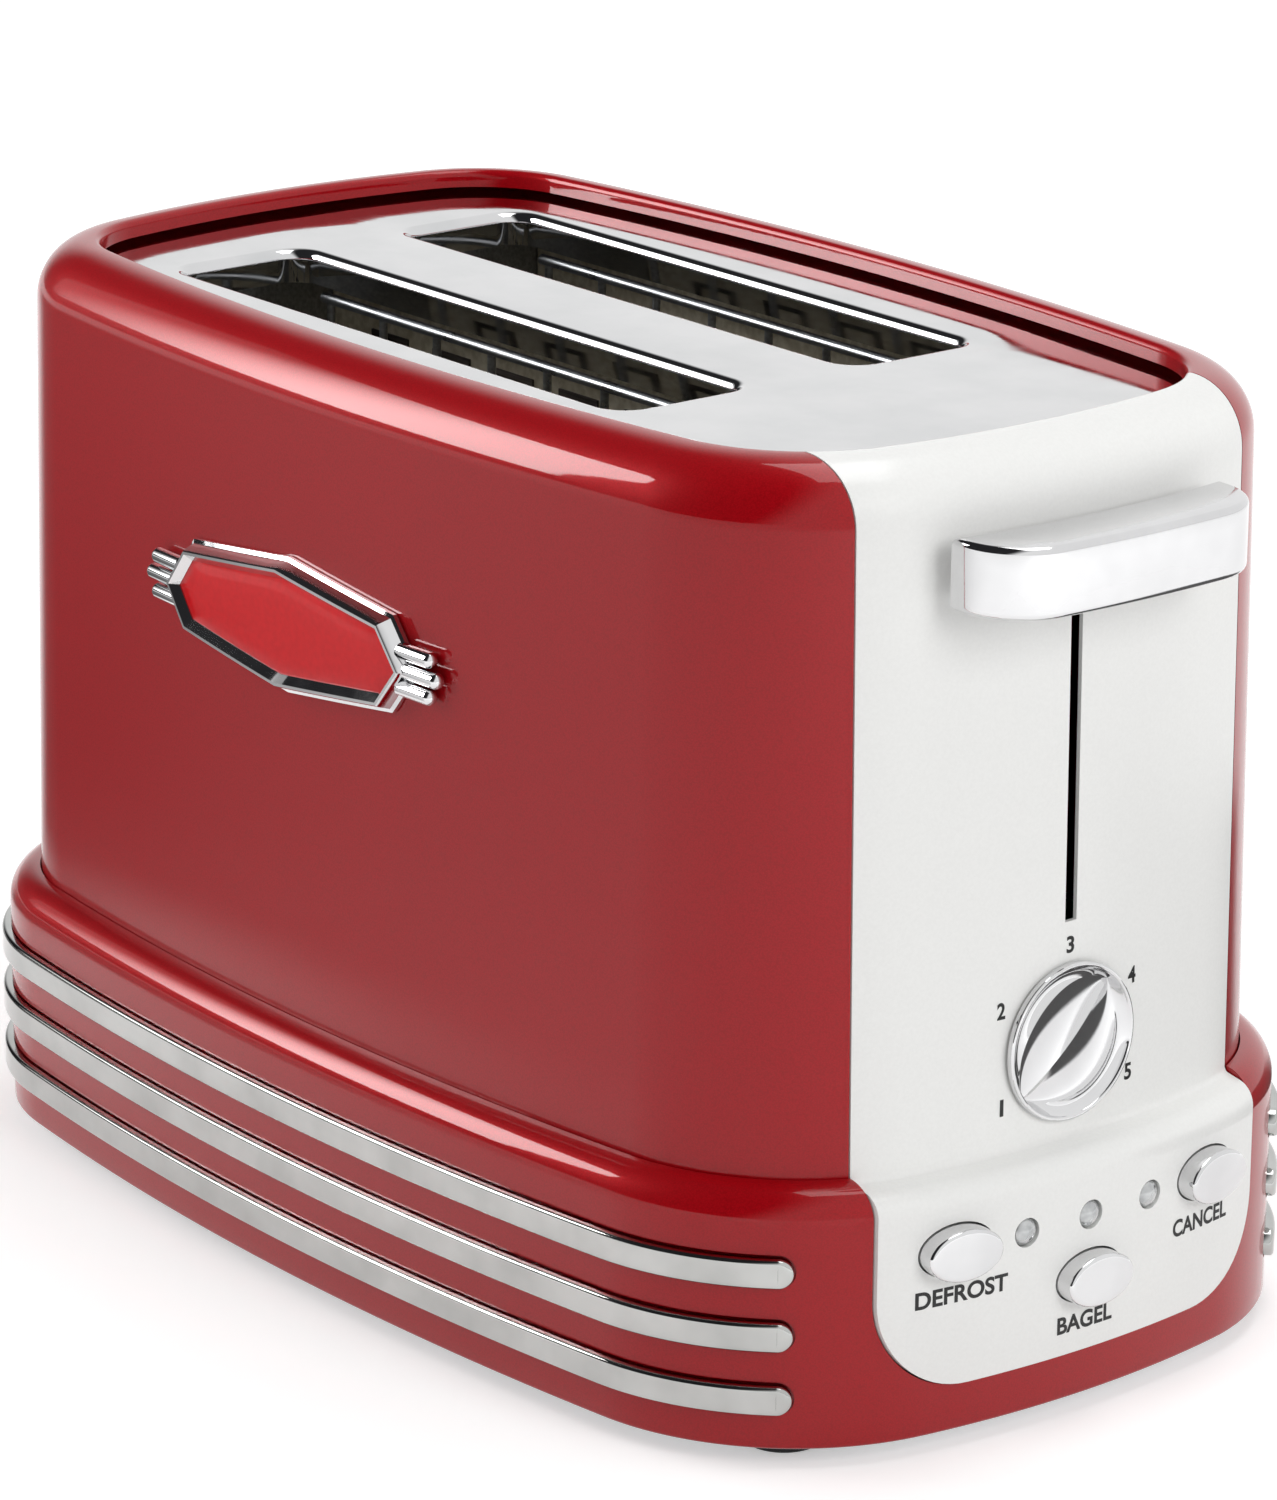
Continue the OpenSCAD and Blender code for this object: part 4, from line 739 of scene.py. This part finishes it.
# Knob
def browning_knob():
    """A flanged bowl with two spoon-shaped scoops that meet in a straight ridge."""
    ridge_z = knob_out - seam
    lens_r = (grip_l ** 2 + grip_w ** 2) / (4 * grip_w)
    turn = math.radians(90 - knob_angle)
    place = panel_frame(0, knob_z, wall_off(knob_z))

    def bowl(u, v):
        return knob_out - bowl_d * (1 - (math.hypot(u, v) * 2 / bowl_w) ** 5)

    def ridge(u):
        return ridge_z - u * u / (2 * ridge_r)

    def turned(u, v, w):
        return place(u * math.cos(turn) - v * math.sin(turn), u * math.sin(turn) + v * math.cos(turn), w)

    long_n, wide_n, rim_n = 96, 16, 12
    points, faces = [], []

    def grid(spot, nu, nv):
        base = len(points)
        points.extend(turned(*spot(i / nu, j / nv)) for i in range(nu + 1) for j in range(nv + 1))
        for i in range(nu):
            for j in range(nv):
                a = base + i * (nv + 1) + j
                faces.append((a, a + 1, a + nv + 2, a + nv + 1))

    for side in (-1, 1):
        def scoop(s, t):
            u = -grip_l / 2 * math.cos(math.pi * s)
            half = max(0.0, math.sqrt(lens_r ** 2 - u * u) - lens_r + grip_w / 2)
            return u, side * half * t, ridge(u) - grip_slope * half * t * (1 - t)

        def dish(s, t):
            u, v, w = scoop(s, 1.0)
            turn_s = math.pi * (1 - s)
            edge = (bowl_w / 2 * math.cos(turn_s), side * bowl_w / 2 * math.sin(turn_s))
            p, q = u + (edge[0] - u) * t, v + (edge[1] - v) * t
            return p, q, bowl(p, q) - (bowl(u, v) - w) * (1 - t) ** 2

        grid(scoop, long_n, wide_n)
        grid(dish, long_n, rim_n)
    crown = (knob_d - bowl_w) / 4
    rim = curve(knob_d / 2 - crown, knob_out - crown * 0.2, crown, 170, 0, 8)
    profile = [(bowl_w / 2, knob_out)] + rim[1:] + [(knob_d / 2, seam), (knob_body_d / 2, seam)]
    profile += [(knob_body_d / 2, -knob_depth), (0.01, -knob_depth)]

    def flange(s, t):
        k = t * (len(profile) - 1)
        r, w = profile[int(round(k))]
        return r * math.cos(2 * math.pi * s), r * math.sin(2 * math.pi * s), w

    grid(flange, 2 * long_n, len(profile) - 1)
    dial = piece("knob_dial", points, faces, sharp=18)
    settle(dial, "knob", trim, "chrome_trim", "browning_knob")


# Buttons and lenses
def push_buttons():
    """Oval caps on a collar that stops them behind the panel, each with its stem; the crown is (rise, inset)."""
    b, crown = button_bevel, ((0.12, 2.2), (0.2, 4.0))
    for name, (y, z) in buttons.items():
        place = panel_frame(y, z, tongue_off)
        levels = [(-collar_in - collar_t, -collar_t), (-collar_in, -collar_t), (-collar_in, 0.0)]
        levels += [(button_out - b, 0.0)]
        levels += [(button_out - b + q[1], b - q[0]) for q in curve(0, 0, b, 0, 90, 7)[1:]]
        levels += [(button_out + rise, inset) for rise, inset in crown]
        loops = [[place(u, v, w) for u, v in ellipse(button_w / 2 - inset, button_h / 2 - inset, 72)]
                 for w, inset in levels]
        cap = piece(name + "_cap", *stacked(loops), sharp=30)
        settle(cap, name, trim, "chrome_trim", name + "_button")
        low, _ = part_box(name + "_button")
        back = (low.x / MM - shift_x - end_x(y, tongue_off)) / math.cos(math.asin(y / (end_r + tongue_off)))
        ends = (back + stem_gap, stem_lap - collar_in - collar_t)
        stem = prism(name + "_stem", circle(stem_d / 2, 32), place, *ends)
        settle(stem, name, finishes["black_plastic"], "black_plastic")


def lenses():
    """Domed light pipes, each a little below the rim of its hole."""
    r, rise = lens_d / 2, lens_out + lens_sink
    dome_r = (r * r + rise ** 2) / (2 * rise)
    span = math.degrees(math.asin(r / dome_r))
    profile = [(r, -panel_t - lens_back), (r, -lens_sink)]
    profile += curve(0, lens_out - dome_r, dome_r, 90 - span, 89.5, 12)
    for i, y in enumerate((-lens_pitch, 0, lens_pitch)):
        lens = turned_piece(f"lens_{i + 1}", profile, panel_frame(y, lens_z, tongue_off), 40)
        settle(lens, "body", finishes["clear_lens"], "clear_lens", *(["indicator_lenses"] if i == 0 else []))


# Badge
def badge_corners(inset):
    """Corners of the badge's octagon with its sides moved in."""
    ex, ey = badge_flat / 2, badge_end_h / 2
    corners = [(badge_l / 2, 0), (ex, ey), (0, badge_h / 2), (-ex, ey)]
    corners = np.array(corners + [(-x, -y) for x, y in corners])
    sides = np.roll(corners, -1, axis=0) - corners
    normals = np.stack([sides[:, 1], -sides[:, 0]], axis=1) / np.linalg.norm(sides, axis=1)[:, None]
    before = np.roll(normals, 1, axis=0)
    dots = (normals * before).sum(axis=1)[:, None]
    return corners - inset * (normals + before) / (1 + dots)


def on_wall(u, v, w):
    """Point on the near side's wall: u along the badge, v up, w out of the wall."""
    x, z = badge_x + u, badge_z + v
    y = side_c[1] + math.sqrt((side_r + wall_off(z)) ** 2 - x * x)
    return x, -y - w, z


def octagon_loop(inset, level):
    corners, per_side = badge_corners(inset), 8
    loop = []
    for a, b in zip(corners, np.roll(corners, -1, axis=0)):
        loop += [on_wall(*(a + (b - a) * i / per_side), level) for i in range(per_side)]
    return loop


def badge():
    """Frame, enamel plate and end bars; each profile is (inset from the octagon, level above the wall)."""
    low, top = seam, seam + badge_t
    rail = [(-badge_flare, low), (-badge_flare, low + 0.9), (-0.9, low + 1.2), (0.0, top - 0.4), (0.3, top),
            (0.9, top), (badge_border, top - 1.7), (badge_border, low + 0.8)]
    border = piece("badge_rail", *stacked([octagon_loop(*p) for p in rail]), sharp=25)
    settle(border, "body", trim, "chrome_trim", "badge_frame")
    inset, edge, run, rise = badge_border + 0.02, top - 1.9, 5.5, 0.7
    dome = [(inset, low + 1.0), (inset, edge)]
    dome += [(inset + run * t, edge + rise * (1 - (1 - t) ** 2)) for t in (0.1, 0.25, 0.45, 0.7, 1.0)]
    plate = piece("badge_plate", *stacked([octagon_loop(*p) for p in dome]), sharp=40)
    settle(plate, "body", finishes["red_enamel"], "red_enamel", "badge_enamel")
    points, faces, r = [], [], bar_d / 2
    for sx in (-1, 1):
        for i in (-1, 0, 1):
            h = max(0.0, bar_pitch * abs(i) - r)
            first = badge_l / 2 - (badge_l - badge_flat) * h / badge_end_h - 0.5
            last = badge_l / 2 + bar_l - bar_step * abs(i)
            ends = [(first, 0.0)] + [(last - r * 0.8 + q[0] * 0.8, r - q[1]) for q in curve(0, 0, r, 90, 2, 8)]
            rows = [[on_wall(sx * u, bar_pitch * i + (r - inset) * c, low + r + (r - inset) * s)
                     for c, s in circle(1, 28)] for u, inset in ends]
            join(points, faces, *stacked(rows))
    settle(piece("badge_rods", points, faces, sharp=50), "body", trim, "chrome_trim", "badge_bars")


# Feet and gland
def feet():
    """Rubber pads with a shallow dish under each."""
    r = foot_d / 2
    profile = [(r - foot_rim - foot_taper, foot_dish), (r - foot_rim, 0.0)]
    profile += curve(r - foot_edge, foot_edge, foot_edge, -90, 0, 5) + [(r - foot_taper, base_low)]
    places = [(sx * (half_l - foot_inset), sy * foot_y) for sx in (-1, 1) for sy in (-1, 1)]
    for i, (x, y) in enumerate(places):
        foot = turned_piece(f"foot_{i + 1}", profile, lambda u, v, w: (x + u, y + v, w))
        settle(foot, "body", rubber, "rubber", *(["rubber_feet"] if i == 0 else []))


def cord_gland():
    """Rubber gland with a round lip; its bore stays open."""
    x = -end_x(0, wall_off(gland_z))
    outer, neck, bore = gland_flange_d / 2, gland_d / 2, cord_d / 2
    inside, crown = -wall - seam, seam + gland_t - gland_lip
    profile = [(bore, inside - gland_t), (outer, inside - gland_t), (outer, inside), (neck, inside)]
    profile += [(neck, seam), (outer, seam)] + curve(outer - gland_lip, crown, gland_lip, 0, 90, 6)
    profile += curve(bore + gland_lip, crown, gland_lip, 90, 180, 6)
    rows = [[(x - w, u, gland_z + v) for u, v in circle(r, 56)] for r, w in profile]
    settle(piece("gland_ring", *loft(rows, closed=True), sharp=40), "body", rubber, "rubber", "cord_gland")


# Printing on the panel
def printed(name, words, y, z, height, width):
    """Words in black ink that follow the panel's face, about a middle point."""
    text = bpy.data.curves.new(name, "FONT")
    text.body, text.size, text.offset = words, 1.0, ink_spread
    holder = bpy.data.objects.new(name, text)
    bpy.context.scene.collection.objects.link(holder)
    flat = bpy.data.meshes.new_from_object(holder.evaluated_get(bpy.context.evaluated_depsgraph_get()))
    bpy.data.objects.remove(holder)
    spots = np.array([v.co[:2] for v in flat.vertices])
    low, high = spots.min(axis=0), spots.max(axis=0)
    spots = (spots - (low + high) / 2) * np.array([width, height]) / (high - low) + np.array([y, z])
    points = [(end_x(u, panel_off(v) + ink_lift), u, v) for u, v in spots]
    faces = [tuple(f.vertices) for f in flat.polygons]
    settle(piece(name, points, faces), "body", ink, "black_plastic")


def printing():
    for i, (deg, width) in enumerate(((-122, 0.9), (-61, 2.0), (0, 2.0), (61, 2.2), (122, 2.0))):
        t = math.radians(deg)
        y, z = number_r * math.sin(t), knob_z + number_r * math.cos(t)
        printed(f"dial_number_{i + 1}", str(i + 1), y, z, number_h, width)
    printed("word_defrost", "DEFROST", -31.6, 33.2, word_h, 21.4)
    printed("word_bagel", "BAGEL", -0.8, 20.4, word_h, 14.6)
    printed("word_cancel", "CANCEL", 32.2, 32.7, word_h, 17.0)


# Finishes of the nodes that stay as they are
def finish_nodes():
    for part in frame["record"]["subparts"]:
        node = frame["nodes"][part["node"]]
        node.data.materials.clear()
        node.data.materials.append(finishes[part["material_slot"]])


# Studio
def floor_and_world():
    """White paper floor in a room that is white on one side and dark on the other; the floor keeps the shadow.
    Its glow for the camera and mirrors is dimmer near the toaster: painted shade round the base.
    """
    floor_size, dark_side, fill_level = 12.0, Vector((-0.5, -0.75, 0.43)), 0.4
    bpy.ops.mesh.primitive_plane_add(size=floor_size)
    ground = bpy.context.object
    ground.name = "studio_floor"
    mat, tree, where = bare("white_paper_floor")
    grain = add(tree, "ShaderNodeTexNoise", {"Vector": where, "Scale": per_mm(3.0)})
    bump = add(tree, "ShaderNodeBump", {"Height": grain.outputs["Fac"], "Distance": 0.02 * MM})
    paper = add(tree, "ShaderNodeBsdfDiffuse", {"Color": srgb("#EDEDED"), "Normal": bump.outputs["Normal"]})
    # painted shade: the glow drops near the toaster and deepens the real shadow there; further out it makes the
    # paper evenly white
    reach = add(tree, "ShaderNodeVectorMath", {0: where}, operation="LENGTH").outputs["Value"]
    level = add(tree, "ShaderNodeMapRange",
                {"Value": reach, "From Min": 0.25, "From Max": 0.9, "To Min": 0.4, "To Max": 0.66})
    glow = add(tree, "ShaderNodeEmission", {"Color": srgb("#FFFFFF"), "Strength": level.outputs["Result"]})
    lit = add(tree, "ShaderNodeAddShader", {0: paper.outputs["BSDF"], 1: glow.outputs["Emission"]})
    seen = seen_directly(tree)
    both = add(tree, "ShaderNodeMixShader", {0: seen, 1: paper.outputs["BSDF"], 2: lit.outputs["Shader"]})
    add(tree, "ShaderNodeOutputMaterial", {"Surface": both.outputs["Shader"]})
    ground.data.materials.append(mat)
    world = bpy.data.worlds.new("white_studio")
    world.use_nodes = True
    bpy.context.scene.world = world
    tree = world.node_tree
    tree.nodes.clear()
    seen = seen_directly(tree)
    fill = add(tree, "ShaderNodeBackground", {"Color": srgb("#FFFFFF"), "Strength": fill_level})
    way = add(tree, "ShaderNodeTexCoord").outputs["Generated"]
    toward = add(tree, "ShaderNodeVectorMath", {0: way, 1: dark_side}, operation="DOT_PRODUCT").outputs["Value"]
    dark = add(tree, "ShaderNodeMapRange", {"Value": toward, "From Min": 0.15, "From Max": 0.5},
               interpolation_type="SMOOTHSTEP")
    camera_ray = add(tree, "ShaderNodeLightPath").outputs["Is Camera Ray"]
    shade = add(tree, "ShaderNodeMath", {0: dark.outputs[0], 1: camera_ray}, operation="SUBTRACT", use_clamp=True)
    room = add(tree, "ShaderNodeMix", {0: shade.outputs[0], 6: srgb("#FFFFFF"), 7: srgb("#2A2A2C")},
               data_type="RGBA")
    show = add(tree, "ShaderNodeBackground", {"Color": room.outputs[2], "Strength": 1.0})
    both = add(tree, "ShaderNodeMixShader",
               {0: seen, 1: fill.outputs["Background"], 2: show.outputs["Background"]})
    add(tree, "ShaderNodeOutputWorld", {"Surface": both.outputs["Shader"]})


def seen_directly(tree):
    """One where the camera, a mirror or clear plastic looks at a surface, and nought for other light."""
    path = add(tree, "ShaderNodeLightPath")
    seen = path.outputs["Is Camera Ray"]
    for ray in ("Is Glossy Ray", "Is Transmission Ray"):
        seen = add(tree, "ShaderNodeMath", {0: seen, 1: path.outputs[ray]}, operation="MAXIMUM").outputs[0]
    return seen


def softbox(name, place, size, watts, aim=(0.0, 0.0, 0.1)):
    """A square-cornered soft lamp at a place in metres, turned to its aim."""
    lamp = bpy.data.lights.new(name, "AREA")
    lamp.shape, lamp.size, lamp.size_y, lamp.energy = "RECTANGLE", size[0], size[1], watts
    obj = bpy.data.objects.new(name, lamp)
    bpy.context.scene.collection.objects.link(obj)
    obj.location = place
    obj.rotation_euler = (Vector(aim) - Vector(place)).to_track_quat("-Z", "Y").to_euler()
    return obj


def lights():
    """Soft light from above, from the panel's side and from the left; mirrors see only the upper one."""
    softbox("top_softbox", (0.1, 0.25, 1.3), (0.9, 0.5), 4.6)
    softbox("front_softbox", (1.3, 0.0, 0.75), (0.7, 0.7), 6.6).visible_glossy = False
    softbox("side_softbox", (-0.99, -0.69, 0.67), (0.9, 0.76), 8.0, (0.0, 0.0, 0.67)).visible_glossy = False


def card(name, corners, finish):
    """A flat card out of the frame that only mirrors and gloss see: it paints a reflection."""
    mesh = bpy.data.meshes.new(name)
    mesh.from_pydata(corners, [], [tuple(range(len(corners)))])
    mesh.materials.append(finish)
    obj = bpy.data.objects.new(name, mesh)
    bpy.context.scene.collection.objects.link(obj)
    obj.visible_camera = obj.visible_diffuse = obj.visible_shadow = obj.visible_transmission = False
    return obj


def side_panel():
    """Upright card at the left that glows for gloss only and is no lamp: painted highlight streaks along the rim
    and the skirt's shoulder.
    """
    mat, tree, where = bare("painted_highlight_card")
    first, last, low, high = (-1.241, -0.319), (-0.725, -1.057), 0.29, 1.05
    dim, bright = 0.4, 12.0
    along = add(tree, "ShaderNodeSeparateXYZ", {"Vector": where}).outputs["Y"]
    level = add(tree, "ShaderNodeMapRange",
                {"Value": along, "From Min": -0.4, "From Max": -0.85, "To Min": dim, "To Max": bright},
                interpolation_type="SMOOTHSTEP")
    # painted highlight: the glow climbs from dim to bright along the card, so the streaks fade out at their left
    # end
    glow = add(tree, "ShaderNodeEmission", {"Strength": level.outputs["Result"]})
    add(tree, "ShaderNodeOutputMaterial", {"Surface": glow.outputs["Emission"]})
    card("side_panel", [first + (low,), last + (low,), last + (high,), first + (high,)], mat)


def floor_flag(name, place, half, stretch, reaches, turns):
    """Level dark sheet that only gloss sees, and only from above: a painted dark reflection. Each fade goes
    from clear to dark: turns are angles from the -X side about the flag's place, in degrees, and reaches are
    distances from it in metres."""
    mat, tree, where = bare(name + "_felt")
    back = add(tree, "ShaderNodeVectorMath", {0: where, "Scale": -1.0}, operation="SCALE")
    ways = add(tree, "ShaderNodeSeparateXYZ", {"Vector": back.outputs["Vector"]})
    both_ways = {0: ways.outputs["Y"], 1: ways.outputs["X"]}
    turn = add(tree, "ShaderNodeMath", both_ways, operation="ARCTAN2").outputs[0]
    reach = add(tree, "ShaderNodeVectorMath", {0: where}, operation="LENGTH").outputs["Value"]
    fades = [(turn, math.radians(a), math.radians(b)) for a, b in turns] + [(reach, a, b) for a, b in reaches]
    below = add(tree, "ShaderNodeNewGeometry").outputs["Backfacing"]
    deepest = 0.9
    share = add(tree, "ShaderNodeMath", {0: deepest, 1: below}, operation="SUBTRACT", use_clamp=True).outputs[0]
    for value, low, high in fades:
        fade = add(tree, "ShaderNodeMapRange", {"Value": value, "From Min": low, "From Max": high},
                   interpolation_type="SMOOTHSTEP").outputs["Result"]
        share = add(tree, "ShaderNodeMath", {0: share, 1: fade}, operation="MULTIPLY").outputs[0]
    clear = add(tree, "ShaderNodeBsdfTransparent")
    # painted dark reflection: a near-black glow that only gloss rays see
    painted_dark_reflection = add(tree, "ShaderNodeEmission", {"Color": srgb("#101011")})
    both = add(tree, "ShaderNodeMixShader", {0: share, 1: clear.outputs["BSDF"], 2: painted_dark_reflection.outputs["Emission"]})
    add(tree, "ShaderNodeOutputMaterial", {"Surface": both.outputs["Shader"]})
    flag = card(name, [(-half, -half, 0), (half, -half, 0), (half, half, 0), (-half, half, 0)], mat)
    flag.location, flag.scale = place, (stretch, 1.0, 1.0)


def floor_flags():
    """Two sheets of painted dark reflection: one darkens the red that the near wall shows, and a raised one darkens
    the upper part of the knob's scoops.
    """
    floor_flag("side_flag", (-0.02, -0.06, 0.001), 1.2, 1 / 0.6,
               ((0.14, 0.19), (1.2, 0.8)), ((105, 25), (-25, 5)))
    floor_flag("knob_flag", (0.137, 0.003, 0.05), 0.3, 1.0,
               ((0.012, 0.02), (0.29, 0.22)), ((-134, -126), (-70, -80)))


def camera():
    """Camera at the photograph's place; its angles, distance and focal length come from a fit to the outline."""
    azimuth, elevation, roll, distance = 51.097, 17.073, 0.445, 1299.65
    focal_px, centre_px, image = 6168.4, (622.58, 680.27), (1277, 1500)
    a, e = math.radians(azimuth), math.radians(elevation)
    target = Vector((shift_x, 0, 115.93)) * MM
    back = Vector((math.sin(a) * math.cos(e), -math.cos(a) * math.cos(e), math.sin(e)))
    data = bpy.data.cameras.new("photo_camera")
    data.sensor_fit, data.sensor_height = "VERTICAL", 36.0
    data.lens = focal_px * data.sensor_height / image[1]
    data.shift_x = (image[0] / 2 - centre_px[0]) / image[1]
    data.shift_y = (centre_px[1] - image[1] / 2) / image[1]
    data.clip_start, data.clip_end = 0.05, 50.0
    view = bpy.data.objects.new("photo_camera", data)
    bpy.context.scene.collection.objects.link(view)
    view.location = target + back * distance * MM
    turn = back.to_track_quat("Z", "Y").to_matrix() @ Matrix.Rotation(math.radians(roll), 3, "Z")
    view.rotation_euler = turn.to_euler()
    bpy.context.scene.camera = view


camera()
finish_nodes()
upper_housing()
base_skirt()
bands()
control_panel()
top_plate()
lever_handle()
browning_knob()
push_buttons()
lenses()
badge()
feet()
cord_gland()
printing()
floor_and_world()
lights()
side_panel()
floor_flags()
bpy.context.scene.view_settings.view_transform = "Standard"

bpy.context.view_layer.update()
